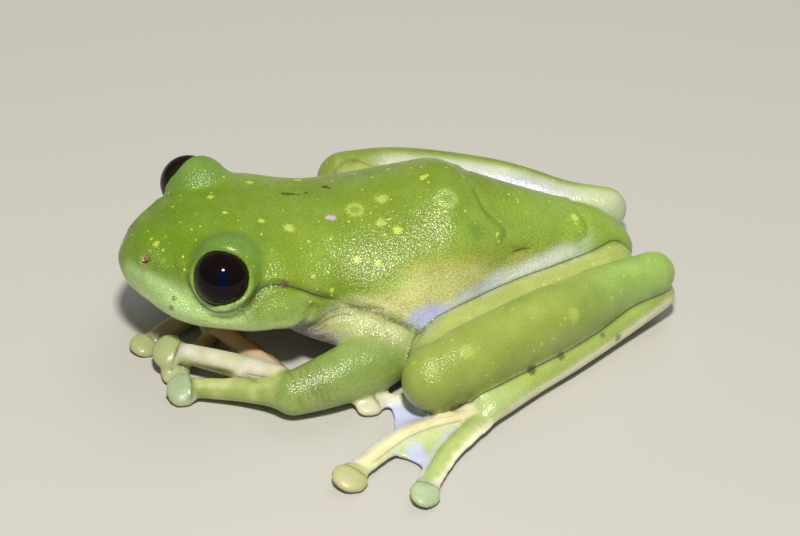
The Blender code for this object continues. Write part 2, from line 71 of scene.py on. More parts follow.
print("Solids in the frame:", len(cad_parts), "and the frog's origin, in metres:", ORIGIN.round(4))


def to_world(points):
    """Metres in the frame's own coordinates from millimetres on the frog."""
    return np.asarray(points, float) * MM + ORIGIN


def lengths(vectors):
    """The length of each vector: the root of its squares' sum."""
    return np.linalg.norm(vectors, axis=1)


def peak(value, width):
    """A soft peak of height 1 where the value is 0: e to the power of minus (value / width) squared."""
    return np.exp(-((value / width) ** 2))


def step(low, high, value):
    """A smooth rise from 0 at low to 1 at high: 3 t squared less 2 t cubed of the way t between them."""
    t = np.clip((value - low) / (high - low), 0, 1)
    return t * t * (3 - 2 * t)


def new_object(name, data):
    """An object in the scene for a mesh, a light or a camera."""
    made = bpy.data.objects.new(name, data)
    bpy.context.scene.collection.objects.link(made)
    return made


def new_mesh(name, points, faces):
    """A mesh with smooth faces."""
    mesh = bpy.data.meshes.new(name)
    mesh.from_pydata(np.asarray(points).tolist(), [], faces)
    mesh.polygons.foreach_set("use_smooth", [True] * len(faces))
    return mesh


# %% [markdown]
# ## Camera
# It looks down 35 degrees from the frog's left, turned 16 degrees towards the head, and leans by 3.
# Turning a camera by three angles is easy to get wrong. Its matrix is written out instead: the columns
# are the directions to its right, up and backwards, and then its place.

# %% Camera
AZIMUTH, ELEVATION, LEAN = np.radians((16, 35, 3))
DISTANCE = 450.0
PIXELS_PER_MM = 7.7
LOOKS_AT = np.array((35.0, 0, 8.0))
OFF_CENTRE = (16, 12)
FRAME_WIDTH, SENSOR = 800, 36

away = np.array((np.sin(AZIMUTH), np.cos(AZIMUTH), -np.tan(ELEVATION))) * np.cos(ELEVATION)
level = np.array((np.cos(AZIMUTH), -np.sin(AZIMUTH), 0))
upright = np.cross(level, away)
right = np.cos(LEAN) * level + np.sin(LEAN) * upright
up = np.cos(LEAN) * upright - np.sin(LEAN) * level

camera_data = bpy.data.cameras.new("camera")
camera_data.sensor_width = SENSOR
camera_data.lens = SENSOR * PIXELS_PER_MM * DISTANCE / FRAME_WIDTH
camera_data.shift_x = OFF_CENTRE[0] / FRAME_WIDTH
camera_data.shift_y = -OFF_CENTRE[1] / FRAME_WIDTH
camera_data.clip_start = 0.01
camera = new_object("camera", camera_data)
turned = np.eye(4)
turned[:3] = np.column_stack((right, up, -away, to_world(LOOKS_AT - away * DISTANCE)))
camera.matrix_world = Matrix(turned.tolist())
bpy.context.scene.camera = camera
print("The camera is", round(DISTANCE), "mm away with a lens of", round(camera_data.lens), "mm")

# %% [markdown]
# ## The frog's sizes
# A frog's body and limbs are round all over, so each is given by a few sections, and a smooth curve
# fills in between. They have the same sizes as the solids, so that the skin lies where those are.

# %% Sizes of the body and the eyes
# The body from snout to vent, one section a row: distance from the snout, half width, height of the
# back, height of the belly, height of the widest line, and how square the upper and lower halves are.
BODY = [
    (0.0, 0.0, 11.6, 11.6, 11.6, 2.0, 2.0), (0.5, 2.5, 13.0, 10.0, 11.1, 2.0, 2.0),
    (1.6, 4.6, 14.4, 9.0, 10.5, 2.4, 2.0), (3.0, 6.6, 15.6, 8.3, 9.9, 2.4, 2.1),
    (5.0, 9.1, 16.5, 7.8, 9.3, 2.1, 2.2), (7.4, 11.2, 17.4, 7.5, 9.2, 2.4, 2.2),
    (10.5, 12.8, 18.1, 7.3, 9.4, 2.6, 2.2), (14.5, 14.0, 18.5, 7.0, 9.4, 2.5, 2.2),
    (18.5, 13.9, 18.5, 6.4, 9.2, 2.4, 2.2), (22.0, 13.1, 18.2, 5.2, 9.1, 2.2, 2.2),
    (26.0, 12.8, 18.0, 3.2, 8.6, 2.05, 2.1), (30.0, 14.2, 18.2, 1.4, 7.8, 1.85, 2.1),
    (34.5, 15.6, 18.6, 0.2, 7.0, 1.75, 2.1), (38.5, 15.0, 19.8, -0.4, 6.8, 1.7, 2.1),
    (42.5, 13.2, 20.6, -0.4, 7.0, 1.75, 2.1), (46.5, 11.0, 18.7, 0.0, 7.3, 1.75, 2.0),
    (51.5, 8.9, 16.4, 0.6, 7.5, 1.8, 2.0), (56.5, 7.6, 14.2, 1.2, 7.2, 1.85, 2.0),
    (61.3, 6.4, 12.2, 1.8, 6.6, 1.9, 2.0), (65.0, 5.1, 10.4, 2.6, 6.1, 2.0, 2.0),
    (67.7, 3.3, 8.3, 3.8, 5.7, 2.0, 2.0), (69.0, 0.0, 5.8, 5.8, 5.8, 2.0, 2.0),
]
EYEBALL_RADIUS = 3.65
EYE_AXIS = (-0.42, 0.87, 0.26)
MOUND_CENTRE = (12.2, 9.0, 15.7)
MOUND_RADIUS, MOUND_CUT = 4.3, 0.4
LID_REACH = 0.95
LID_TILT = 0.5
LID_POLES = (4.2, 0.5)
# The ring of the lids in section: along the eye's axis, out from it, and the share of the rim's reach.
LID_PROFILE = [
    (-3.2, 2.4, 0.0), (-2.0, 3.6, 0.2), (-0.9, 4.15, 0.7), (-0.3, 4.15, 1.0), (0.0, 3.95, 1.0),
    (0.0, 3.6, 1.0), (-0.4, 2.8, 0.8),
]
print("The body has", len(BODY), "sections over", BODY[-1][0], "mm")

# %% Sizes of the limbs
# One section a row: place of the centre, half width and half height.
THIGH = [
    (64.0, -4.2, 5.4, 3.9, 3.9), (57.5, -7.0, 4.7, 4.4, 4.3), (51.0, -9.2, 4.5, 4.3, 4.2),
    (45.0, -12.6, 4.8, 4.0, 4.0), (39.5, -17.2, 5.4, 3.7, 3.9), (36.6, -20.8, 5.9, 3.5, 3.8),
]
SHANK = [
    (35.4, -23.6, 5.5, 3.9, 4.3), (42.2, -20.9, 5.9, 4.2, 4.8), (51.0, -16.7, 6.1, 4.3, 5.1),
    (56.7, -13.9, 6.0, 3.9, 4.7), (63.2, -10.4, 6.0, 3.2, 3.7), (69.0, -8.7, 6.6, 2.9, 3.2),
]
RIGHT_THIGH = [
    (64.0, 4.2, 5.2, 3.9, 3.7), (57.5, 7.0, 4.5, 4.4, 4.0), (51.0, 9.6, 4.3, 4.3, 4.0),
    (45.0, 13.4, 4.5, 4.0, 3.9), (39.5, 18.0, 4.8, 3.7, 3.9), (36.2, 20.8, 5.2, 3.6, 3.9),
]
RIGHT_SHANK = [
    (35.4, 22.6, 5.0, 3.7, 4.0), (42.2, 20.6, 5.6, 4.0, 4.5), (51.0, 16.6, 5.6, 4.1, 4.8),
    (56.7, 13.9, 5.5, 3.7, 4.5), (62.8, 10.8, 5.2, 3.1, 3.6), (68.2, 9.3, 4.9, 2.8, 3.2),
]
TARSUS = [
    (70.0, -9.3, 3.8, 2.0, 2.4), (62.6, -13.4, 2.6, 2.2, 2.2), (55.1, -18.1, 2.3, 2.3, 2.1),
    (48.2, -22.3, 2.1, 2.2, 2.0), (42.3, -26.1, 1.9, 2.3, 1.8),
]
RIGHT_TARSUS = [
    (68.6, 9.6, 3.2, 2.0, 2.4), (62.4, 13.2, 2.6, 2.2, 2.2), (55.1, 17.8, 2.3, 2.3, 2.1),
    (48.4, 22.0, 2.1, 2.2, 2.0), (43.0, 25.0, 1.9, 2.4, 1.8),
]
UPPER_ARM = [
    (22.0, -9.0, 7.6, 3.0, 3.0), (27.0, -12.0, 6.9, 3.1, 3.2), (32.6, -15.2, 5.4, 3.2, 3.3),
]
FOREARM = [
    (33.0, -15.4, 4.2, 3.4, 3.4), (28.4, -17.2, 3.85, 3.8, 3.9), (23.0, -19.2, 3.6, 3.4, 3.4),
    (18.4, -20.2, 3.1, 2.8, 2.9),
]
RIGHT_FOREARM = [
    (33.0, 15.4, 4.2, 3.4, 3.4), (29.0, 12.6, 3.9, 3.6, 3.6), (24.0, 9.4, 3.4, 3.2, 3.3),
    (20.0, 6.8, 2.9, 2.7, 2.8),
]
print("The left thigh and shank have", len(THIGH), "and", len(SHANK), "sections")

# %% Sizes of the fingers and toes
# The shaft's centre line with its half width, then the disc's centre, half length, half width and
# half height, and how far the disc leans over, in degrees.
LEFT_HAND = {
    "1": ([(18.2, -17.0, 2.6, 1.5), (17.0, -11.5, 1.9, 1.2), (15.8, -7.2, 1.2, 1.0)],
          (15.3, -5.8, 0.8, 1.7, 1.5, 0.9), 0),
    "2": ([(17.4, -17.4, 3.0, 1.8), (14.8, -10.6, 3.0, 1.4), (12.0, -5.6, 3.4, 1.2)],
          (11.2, -4.2, 3.5, 2.0, 1.8, 0.9), 0),
    "3": ([(17.0, -17.2, 3.2, 2.1), (13.0, -13.4, 3.1, 1.7), (6.9, -9.4, 3.1, 1.45)],
          (4.9, -8.2, 3.1, 2.3, 2.6, 1.0), 25),
    "4": ([(17.2, -19.6, 2.8, 2.0), (12.5, -17.0, 2.1, 1.6), (7.3, -14.8, 1.6, 1.4)],
          (5.4, -14.5, 1.5, 2.2, 2.6, 1.0), 25),
}
RIGHT_HAND = {
    "1": ([(18.2, 4.2, 2.2, 1.4), (16.6, 1.0, 1.4, 1.1), (15.2, -1.6, 1.1, 1.0)],
          (14.6, -2.8, 0.8, 1.7, 1.5, 0.9), 0),
    "2": ([(18.0, 4.0, 2.3, 1.6), (11.6, -3.6, 1.4, 1.2), (6.8, -9.0, 1.2, 1.1)],
          (5.4, -10.5, 0.9, 2.1, 2.1, 0.9), 5),
    "3": ([(18.0, 5.2, 2.5, 2.0), (10.6, 0.8, 1.7, 1.5), (4.7, -2.5, 1.3, 1.3)],
          (2.7, -3.7, 1.0, 2.1, 2.1, 1.0), 15),
    "4": ([(18.4, 6.8, 2.4, 1.9), (14.6, 5.4, 1.7, 1.5), (11.0, 4.0, 1.3, 1.3)],
          (9.2, 3.4, 1.0, 2.0, 2.0, 1.0), -10),
}
LEFT_PALM = [(19.6, -20.3, 3.1, 2.6, 2.6), (16.8, -18.6, 2.8, 2.8, 2.2)]
RIGHT_PALM = [(20.2, 6.9, 2.9, 2.4, 2.4), (17.8, 5.4, 2.5, 2.5, 2.0)]
LEFT_FOOT = {
    "1": ([(41.6, -25.4, 1.2, 1.2), (40.2, -23.0, 0.8, 0.9), (39.2, -21.2, 0.6, 0.7)],
          (38.7, -20.3, 0.5, 1.4, 1.2, 0.5), 0),
    "2": ([(40.8, -26.0, 1.3, 1.3), (38.0, -22.8, 0.9, 1.0), (35.8, -20.8, 0.7, 0.8)],
          (35.0, -20.1, 0.6, 1.6, 1.4, 0.6), 0),
    "3": ([(40.6, -26.6, 1.5, 1.4), (35.2, -22.1, 1.2, 1.2), (30.4, -20.8, 1.0, 1.1)],
          (27.9, -21.6, 1.0, 2.0, 1.8, 0.9), 10),
    "4": ([(41.4, -26.6, 1.8, 1.8), (31.7, -28.3, 1.5, 1.6), (24.1, -33.2, 1.3, 1.5)],
          (22.0, -35.4, 1.2, 2.4, 2.5, 1.1), 15),
    "5": ([(41.6, -27.0, 1.7, 1.7), (35.6, -32.2, 1.4, 1.6), (31.5, -37.6, 1.2, 1.45)],
          (30.3, -40.0, 1.1, 2.6, 2.1, 1.0), 15),
}
RIGHT_FOOT = {
    "1": ([(42.8, 23.8, 1.2, 1.2), (41.0, 21.4, 0.8, 0.9), (39.6, 19.6, 0.6, 0.7)],
          (39.0, 18.9, 0.5, 1.4, 1.2, 0.5), 0),
    "2": ([(42.4, 24.0, 1.3, 1.3), (38.2, 20.8, 0.9, 1.0), (35.6, 18.6, 0.7, 0.8)],
          (34.9, 18.0, 0.6, 1.6, 1.4, 0.6), 0),
    "3": ([(42.2, 24.4, 1.5, 1.4), (36.0, 21.0, 1.1, 1.2), (31.8, 18.8, 1.0, 1.1)],
          (30.2, 18.0, 1.0, 1.9, 1.7, 0.9), 0),
    "4": ([(42.2, 25.2, 1.8, 1.8), (34.6, 23.8, 1.4, 1.6), (28.4, 21.6, 1.2, 1.5)],
          (26.2, 20.8, 1.2, 2.4, 2.4, 1.1), -10),
    "5": ([(42.4, 26.0, 1.7, 1.7), (38.0, 27.4, 1.4, 1.6), (34.0, 26.6, 1.2, 1.45)],
          (31.8, 26.0, 1.1, 2.4, 2.1, 1.0), -10),
}
# How far along each pair of toes the web between them reaches, and how deeply its edge is scooped.
TOE_WEBS = [
    ("5", "4", 0.97, 0.86, 0.16),
    ("4", "3", 0.8, 0.98, 0.12),
    ("3", "2", 0.7, 0.8, 0.2),
    ("2", "1", 0.7, 0.8, 0.2),
]
WEB_THICKNESS, WEB_LEVEL, WEB_SAG = 0.62, 0.68, 1.6
print("Fingers:", len(LEFT_HAND) + len(RIGHT_HAND), "and toes:", len(LEFT_FOOT) + len(RIGHT_FOOT))

# %% [markdown]
# ## Smooth shapes
# Flesh has no flat faces, so each piece but the webs is a stack of rings along a smooth curve, closed at
# both ends. Rings could be drawn and joined by hand. Here a shape is a function of two numbers, the
# place along it and the turn round it, so a whole grid of points is worked out at once. A web is a thin
# sheet, with a place along it and one across.

# %% Shape helpers
CAP_ANGLES = np.radians((20, 40, 60, 75))


def spline(rows, count, mirror=None):
    """A smooth curve through the rows, read at count places: each span is a cubic whose slope at a
    row is half the step between its neighbours. With a mirror the rows beyond the ends are mirror
    images of those inside, so that the shape is rounded there."""
    rows = np.array(rows, float)
    first, last = 2 * rows[0] - rows[1], 2 * rows[-1] - rows[-2]
    if mirror:
        first, last = rows[1] * mirror, rows[-2] * mirror
    rows = np.vstack([first, rows, last])
    place = np.linspace(0, len(rows) - 3, count)
    span = np.minimum(place.astype(int), len(rows) - 4)
    t = (place - span)[:, None]
    a, b, c, d = (rows[span + k] for k in range(4))
    return 0.5 * (2 * b + (c - a) * t + (2 * a - 5 * b + 4 * c - d) * t**2 + (3 * b - a - 3 * c + d) * t**3)


def power(value, exponent):
    """The value's size raised to an exponent, with its sign kept."""
    return np.sign(value) * np.abs(value) ** exponent


def closed_loft(rings, first_pole, last_pole):
    """Points, faces and the share of the length at each point, of rings drawn to a pole at each end.
    Four neighbours on two rings make a face, and two neighbours on an end ring make one with its pole."""
    count, sides = rings.shape[:2]
    points = np.vstack([rings.reshape(-1, 3), [first_pole], [last_pole]])
    share = np.append(np.repeat(np.linspace(0, 1, count), sides), (0, 1))
    here = np.arange(count * sides).reshape(count, sides)
    after = np.roll(here, -1, axis=1)
    faces = np.stack([here[:-1], after[:-1], after[1:], here[1:]], axis=-1).reshape(-1, 4).tolist()
    start, end, top = count * sides, count * sides + 1, (count - 1) * sides
    for a, b in zip(here[0].tolist(), after[0].tolist()):
        faces += [(start, b, a), (end, top + a, top + b)]
    return points, faces, share


def body_shape(count=150, sides=120):
    """Head and torso in one. Each section is a superellipse, whose sine and cosine are raised to 2 over
    an exponent: the higher the exponent, the squarer the section."""
    rows = spline(BODY, count, mirror=(1, -1, 1, 1, 1, 1, 1))[1:-1]
    turn = np.linspace(0, 2 * np.pi, sides, endpoint=False)[None]
    x, half, top, bottom, widest, upper, lower = (rows[:, k, None] for k in range(7))
    over = np.sin(turn) >= 0
    squareness = np.where(over, upper, lower)
    reach = np.where(over, top - widest, widest - bottom)
    y = half * power(np.cos(turn), 2 / squareness)
    z = widest + reach * power(np.sin(turn), 2 / squareness)
    rings = np.stack([x + 0 * y, y, z], axis=-1)
    return closed_loft(rings, (BODY[0][0], 0, BODY[0][2]), (BODY[-1][0], 0, BODY[-1][2]))


def limb_shape(rows, count=40, sides=28, caps=(1.0, 1.0)):
    """A fleshy tube: at each row's centre lies an ellipse, square to the curve, whose points are the
    cosine of the turn across and its sine upward. Both ends are rounded."""
    rows = spline(rows, count)
    centres, radii = rows[:, :3], rows[:, 3:5]
    along = np.gradient(centres, axis=0)
    along /= lengths(along)[:, None]
    across = np.cross(along, (0, 0, 1))
    across /= lengths(across)[:, None]
    upward = np.cross(across, along)
    sections = list(zip(centres, across, upward, radii))
    frames = [cap_ring(sections[0], -along[0] * caps[0], angle) for angle in CAP_ANGLES[::-1]] + sections
    frames += [cap_ring(sections[-1], along[-1] * caps[1], angle) for angle in CAP_ANGLES]
    turn = np.linspace(0, 2 * np.pi, sides, endpoint=False)[:, None]
    rings = np.array([c + np.cos(turn) * a * r[0] + np.sin(turn) * u * r[1] for c, a, u, r in frames])
    first = centres[0] - along[0] * caps[0] * radii[0].mean()
    last = centres[-1] + along[-1] * caps[1] * radii[-1].mean()
    return closed_loft(rings, first, last)


def cap_ring(section, outward, angle):
    """One ring of a rounded end: it lies further out and is smaller as the angle grows."""
    centre, across, upward, radii = section
    return centre + outward * radii.mean() * np.sin(angle), across, upward, radii * np.cos(angle)


def frame_along(direction, lean=0.0):
    """Unit vectors along a direction, across it and upward, leant over round it."""
    along = np.array(direction, float) / np.linalg.norm(direction)
    across = np.cross(along, (0, 0, 1))
    across /= np.linalg.norm(across)
    upward = np.cross(across, along)
    return along, across * np.cos(lean) + upward * np.sin(lean), upward * np.cos(lean) - across * np.sin(lean)


def ellipsoid_shape(centre, direction, radii, lean=0.0, sides=28, rings=20):
    """A closed ellipsoid whose first radius lies along a direction: rings whose size is the sine of the
    angle down from one end, at minus its cosine along."""
    along, across, upward = frame_along(direction, np.radians(lean))
    down = np.linspace(0, np.pi, rings + 2)[1:-1, None, None]
    turn = np.linspace(0, 2 * np.pi, sides, endpoint=False)[None, :, None]
    ring = across * radii[1] * np.cos(turn) + upward * radii[2] * np.sin(turn)
    points = np.array(centre) - along * radii[0] * np.cos(down) + np.sin(down) * ring
    return closed_loft(points, centre - along * radii[0], centre + along * radii[0])


def web_shape(first, second, reach_first, reach_second, scoop, across=15, outward=17, reads=49):
    """The web between two digits: straight lines from one to the other, from their roots out to an edge
    that is scooped as a parabola, as a closed sheet with a thickness."""
    s = np.linspace(0, 1, across)
    reach = (reach_first * (1 - s) + reach_second * s) * (1 - 4 * scoop * s * (1 - s))
    place = np.linspace(0, 1, outward)[:, None] * reach * (reads - 1)
    lines = spline(first, reads)[:, :3], spline(second, reads)[:, :3]
    a, b = (np.stack([np.interp(place, range(reads), axis) for axis in line.T], axis=-1) for line in lines)
    top = a * (1 - s)[:, None] + b * s[:, None]
    top[..., 2] = np.maximum(WEB_LEVEL, top[..., 2] * (1 - WEB_SAG * s * (1 - s)))
    under = top - (0, 0, WEB_THICKNESS)
    points = np.vstack([top.reshape(-1, 3), under.reshape(-1, 3)])
    half = outward * across
    grid = np.arange(half).reshape(outward, across)
    faces = []
    for a in grid[:-1, :-1].ravel().tolist():
        b, d, e = a + 1, a + across, a + across + 1
        faces += [(a, b, e, d), (half + a, half + d, half + e, half + b)]
    rim = np.concatenate([grid[0], grid[1:, -1], grid[-1, -2::-1], grid[-2:0:-1, 0]]).tolist()
    faces += [(a, b, half + b, half + a) for a, b in zip(rim, rim[1:] + rim[:1])]
    share = np.tile(np.repeat(np.linspace(0, 1, outward), across), 2)
    return points, faces, share


def eye_frame(side):
    """The eyeball's centre and its axis, across and upward directions, side -1 being the left."""
    centre = np.array(EYE_CENTRE) * (1, side, 1)
    return centre, *frame_along(np.array(EYE_AXIS) * (1, side, 1))


def lid_shape(side):
    """The ring of the lids: a profile turned round the eye's axis. Its reach grows towards the lower
    edge as minus the sine of the turn."""
    centre, axis, across, upward = eye_frame(side)
    turn = np.linspace(0, 2 * np.pi, 60, endpoint=False)[:, None]
    rim = LID_REACH - LID_TILT * np.sin(turn)
    profile = spline(LID_PROFILE, 25)
    circle = across * np.cos(turn) + upward * np.sin(turn)
    rings = np.array([centre + axis * (depth + rim * share) + out * circle for depth, out, share in profile])
    return closed_loft(rings, centre - axis * LID_POLES[0], centre - axis * LID_POLES[1])


def mound_shape(side):
    """The dome of skin behind and above the eyeball, cut flat where the eye opens."""
    centre, axis, *_ = eye_frame(side)
    middle = np.array(MOUND_CENTRE) * (1, side, 1)
    points, faces, share = ellipsoid_shape(middle, axis, (MOUND_RADIUS,) * 3, sides=48, rings=36)
    depth = (points - centre) @ axis
    points = points - axis * np.maximum(depth - MOUND_CUT, 0)[:, None]
    return points, faces, share


print("A dome of skin has", len(mound_shape(1)[0]), "points and a lid", len(lid_shape(1)[0]))

# %% [markdown]
# ## The skin
# A frog's skin runs on without a seam from the snout to the toes. Union operations could join the
# pieces, but leave sharp edges where they meet. A voxel remesh lays one even net over them all, and
# smoothing rounds the places where they meet. Each point keeps the name of the piece that it came from
# and its share of that piece's length, so that colours can follow the body.

# %% Join the pieces
# The outer toes have a flat fringe of skin on each side of a narrower core. Widths are shares of the
# toe's own, and the discs are flatter here than those of the solids.
FRINGED = ("toe3", "toe4", "toe5")
TOE_CORE, TOE_CORE_HEIGHT, TOE_FRINGE, FRINGE_HEIGHT = 0.54, 0.56, 1.2, 0.5
SHAFT_HEIGHT, DISC_HEIGHT, DIGIT_CAPS = 0.92, 0.8, (0.8, 0.6)
pieces = [("body", body_shape())]
for side, sign in (("left", -1), ("right", 1)):
    pieces.append((f"lid_{side}", lid_shape(sign)))
    pieces.append((f"mound_{side}", mound_shape(sign)))
limbs = {
    "thigh": (THIGH, RIGHT_THIGH),
    "shank": (SHANK, RIGHT_SHANK),
    "tarsus": (TARSUS, RIGHT_TARSUS),
    "upper_arm": (UPPER_ARM, [(x, -y, *rest) for x, y, *rest in UPPER_ARM]),
    "forearm": (FOREARM, RIGHT_FOREARM),
    "palm": (LEFT_PALM, RIGHT_PALM),
}
digits = {"finger": (LEFT_HAND, RIGHT_HAND), "toe": (LEFT_FOOT, RIGHT_FOOT)}
for index, side in enumerate(("left", "right")):
    for name, tables in limbs.items():
        pieces.append((f"{name}_{side}", limb_shape(tables[index])))
    for name, tables in digits.items():
        for key, (shaft, disc, lean) in tables[index].items():
            fringed = f"{name}{key}" in FRINGED
            sunk, wide, high = (0.2, TOE_CORE, TOE_CORE_HEIGHT) if fringed else (0, 1, SHAFT_HEIGHT)
            rows = [(x, y, z - sunk * half, half * wide, half * high) for x, y, z, half in shaft]
            pieces.append((f"{name}{key}_{side}", limb_shape(rows, 30, 20, DIGIT_CAPS)))
            direction = np.subtract(disc[:3], shaft[-1][:3]) * (1, 1, 0.3)
            middle = np.subtract(disc[:3], (0, 0, (1 - DISC_HEIGHT) * disc[5]))
            radii = np.multiply(disc[3:], (1, 1, DISC_HEIGHT))
            pieces.append((f"{name}disc{key}_{side}", ellipsoid_shape(middle, direction, radii, lean)))
            if fringed:
                rows = [(x, y, z - 0.25 * half, half * TOE_FRINGE, FRINGE_HEIGHT) for x, y, z, half in shaft]
                neck = middle - 0.3 * disc[3] * direction / np.linalg.norm(direction)
                rows.append((neck[0], neck[1], rows[-1][2], 0.72 * disc[4], FRINGE_HEIGHT))
                pieces.append((f"fringe{key}_{side}", limb_shape(rows, 24, 16, DIGIT_CAPS)))
    foot = digits["toe"][index]
    for first, second, *reaches in TOE_WEBS:
        pieces.append((f"web{first}{second}_{side}", web_shape(foot[first][0], foot[second][0], *reaches)))

names = [name for name, _ in pieces]


def joined(shapes):
    """The points and the faces of several shapes in one list each."""
    faces, start = [], 0
    for points, shape_faces, _ in shapes:
        faces += [tuple(start + corner for corner in face) for face in shape_faces]
        start += len(points)
    return np.concatenate([shape[0] for shape in shapes]), faces


all_points, all_faces = joined([shape for _, shape in pieces])
all_shares = np.concatenate([share for _, (_, _, share) in pieces])
all_names = np.concatenate([np.full(len(shape[0]), index) for index, (_, shape) in enumerate(pieces)])
print(len(pieces), "pieces with", len(all_points), "points and", len(all_faces), "faces")

# %% Remesh them as one surface
VOXEL = 0.36

rough = new_object("skin_rough", new_mesh("skin_rough", all_points, all_faces))
remesh = rough.modifiers.new("remesh", "REMESH")
remesh.mode = "VOXEL"
remesh.voxel_size = VOXEL
bpy.context.view_layer.update()
fused = bpy.data.meshes.new_from_object(rough.evaluated_get(bpy.context.evaluated_depsgraph_get()))
bpy.data.objects.remove(rough)


def numbers_of(items, field, columns, kind=float):
    """The numbers that a mesh keeps for its points or edges, one row each."""
    values = np.empty(len(items) * columns, kind)
    items.foreach_get(field, values)
    return values.reshape(-1, columns)


points = numbers_of(fused.vertices, "co", 3)
ends = numbers_of(fused.edges, "vertices", 2, int)
neighbours = np.bincount(ends.ravel(), minlength=len(points))


def around(values):
    """The mean of each point's neighbours."""
    values = values.reshape(len(points), -1)
    total = np.zeros_like(values)
    for k in range(values.shape[1]):
        total[:, k] = np.bincount(ends[:, 0], values[ends[:, 1], k], len(points))
        total[:, k] += np.bincount(ends[:, 1], values[ends[:, 0], k], len(points))
    return (total / neighbours[:, None]).squeeze()


def smoothed(values, times, strength=0.5):
    """Moves each value towards its neighbours' mean by a share, as many times as told."""
    if np.ndim(strength) and values.ndim > 1:
        strength = strength[:, None]
    for _ in range(times):
        values = values + strength * (around(values) - values)
    return values


def normals_of(points):
    """The skin's outward direction at each point: the mean of its faces' directions."""
    fused.vertices.foreach_set("co", points.ravel())
    fused.update()
    return numbers_of(fused.vertex_normals, "vector", 3, np.float32).astype(float)


points = smoothed(points, 5)
print("The skin has", len(points), "points and", len(fused.polygons), "faces")

# %% Find the piece under each point
tree = KDTree(len(all_points))
for index, point in enumerate(all_points):
    tree.insert(point, index)
tree.balance()
nearest = np.array([tree.find(point)[1] for point in points])
piece = all_names[nearest]
share = all_shares[nearest]


def on(*starts):
    """1 where a point comes from a piece whose name starts so, and 0 elsewhere."""
    chosen = np.array([name.startswith(starts) for name in names])
    return chosen[piece].astype(float)


print("Points of the head and torso:", int(on("body").sum()), "and of the webs:", int(on("web").sum()))

# %% [markdown]
# ## Folds, creases and lids
# Loose skin folds behind the eye, over the hips and where limbs lie on it. Folds could be sculpted by
# hand, but a fold that is a named line with a depth and a width can be changed later. Blends first
# soften the roots of the limbs. Then every fold, crease and pit adds to one number, the lift, which
# moves each point along its own outward direction. The discs' grooves and the lids follow.

# %% Soften where the limbs join
BLENDS = [
    ((19.0, -20.2, 3.0), 3.4), ((27.5, -12.5, 8.0), 3.6), ((33.0, -15.6, 5.0), 2.6),
    ((42.0, -26.0, 2.0), 3.6), ((20.0, 6.8, 3.0), 3.4), ((27.5, 12.5, 8.0), 3.6),
    ((42.6, 25.0, 2.0), 3.6), ((7.0, 10.0, 15.5), 2.5),
]
strength = np.zeros(len(points))
for centre, reach in BLENDS:
    strength = np.maximum(strength, step(reach, reach * 0.4, lengths(points - centre)))
points = smoothed(points, 14, 0.5 * strength)
for side in (-1, 1):
    centre, _, across, upward = eye_frame(side)
    offset = points - centre
    far = lengths(offset)
    upper = step(-0.3, 0.5, (offset @ upward + 0.35 * (offset @ across)) / far)
    near = step(7.0, 5.2, far)
    points = smoothed(points, 4, 0.5 * near * step(3.9, 4.4, far))
    points = smoothed(points, 26, 0.5 * near * upper)
print("Points that are blended:", int((strength > 0).sum()))

# %% Folds and creases
normals = normals_of(points)
skin_faces = [tuple(face.vertices) for face in fused.polygons]
surface = BVHTree.FromPolygons(points.tolist(), skin_faces)


def on_skin(line, count=40):
    """A smooth line through the points given, laid on the skin."""
    line = spline(line, count) if len(line) > 2 else np.linspace(line[0], line[1], count)
    return np.array([surface.find_nearest(Vector(point))[0] for point in line])


def off_line(line, reach=3.0):
    """How far each point is from a line, below zero on one side of it, and its share of the way along."""
    low, high = line.min(0) - reach, line.max(0) + reach
    near = np.where(((points > low) & (points < high)).all(1))[0]
    gap = np.full(len(points), 99.0)
    place = np.zeros(len(points))
    for index in range(len(line) - 1):
        a, b = line[index], line[index + 1]
        ab = b - a
        t = np.clip((points[near] - a) @ ab / max(ab @ ab, 1e-9), 0, 1)
        off = points[near] - a - t[:, None] * ab
        away_by = lengths(off)
        closer = away_by < np.abs(gap[near])
        turn = np.sign(np.einsum("ij,ij->i", np.cross(ab, off), normals[near]) + 1e-12)
        gap[near[closer]] = (away_by * turn)[closer]
        place[near[closer]] = (index + t[closer]) / (len(line) - 1)
    return gap, place


def on_side(line, side):
    """A line of the left side as it is for side 1, or mirrored for side -1."""
    return np.array(line, float) * (1, side, 1)


def both_sides(line):
    """A line of the left side, and its mirror image on the right."""
    return [on_side(line, side) for side in (1, -1)]


# How far a crease's raised lips lie from its middle, in widths, and the gap where no painted shade line is
# near
LIP_OFF, NO_LINE, FAINTEST = 2.2, 5.0, 0.02
lift = np.zeros(len(points))
line_gap = np.full(len(points), NO_LINE)
line_strength = np.zeros(len(points))


def note_shade_line(gap, strength):
    """Remembers the nearest painted shade line: how far it is, and how dark."""
    closer = (np.abs(gap) < np.abs(line_gap)) & (strength > FAINTEST)
    line_gap[closer] = gap[closer]
    line_strength[closer] = strength[closer]


def crease(line, depth, width, lip=0.0, shade=0.5, ends=0.15):
    """A sunk line that fades at both ends: less a soft peak of its depth at the line, plus one of the
    lip's height beside it. A shade adds a painted shade line along it."""
    global lift
    gap, place = off_line(on_skin(line))
    fade = step(0, ends, place) * step(1, 1 - ends, place)
    lift = lift + fade * (lip * peak(np.abs(gap) - LIP_OFF * width, width) - depth * peak(gap, width))
    if shade:
        note_shade_line(gap, fade * shade * (np.abs(gap) < 3))


def ridge(line, height, width, ends=0.25):
    """A raised line that fades at both ends."""
    crease(line, -height, width, 0.0, 0.0, ends)


def bulge(centre, reach, height):
    """A soft swelling round a point."""
    global lift
    lift = lift + height * peak(lengths((points - centre) / np.array(reach)), 1)


def tell_lift(part):
    """Prints how far the skin is sunk and raised so far."""
    print(f"{part}: the lift runs from {lift.min():.2f} to {lift.max():.2f} mm")
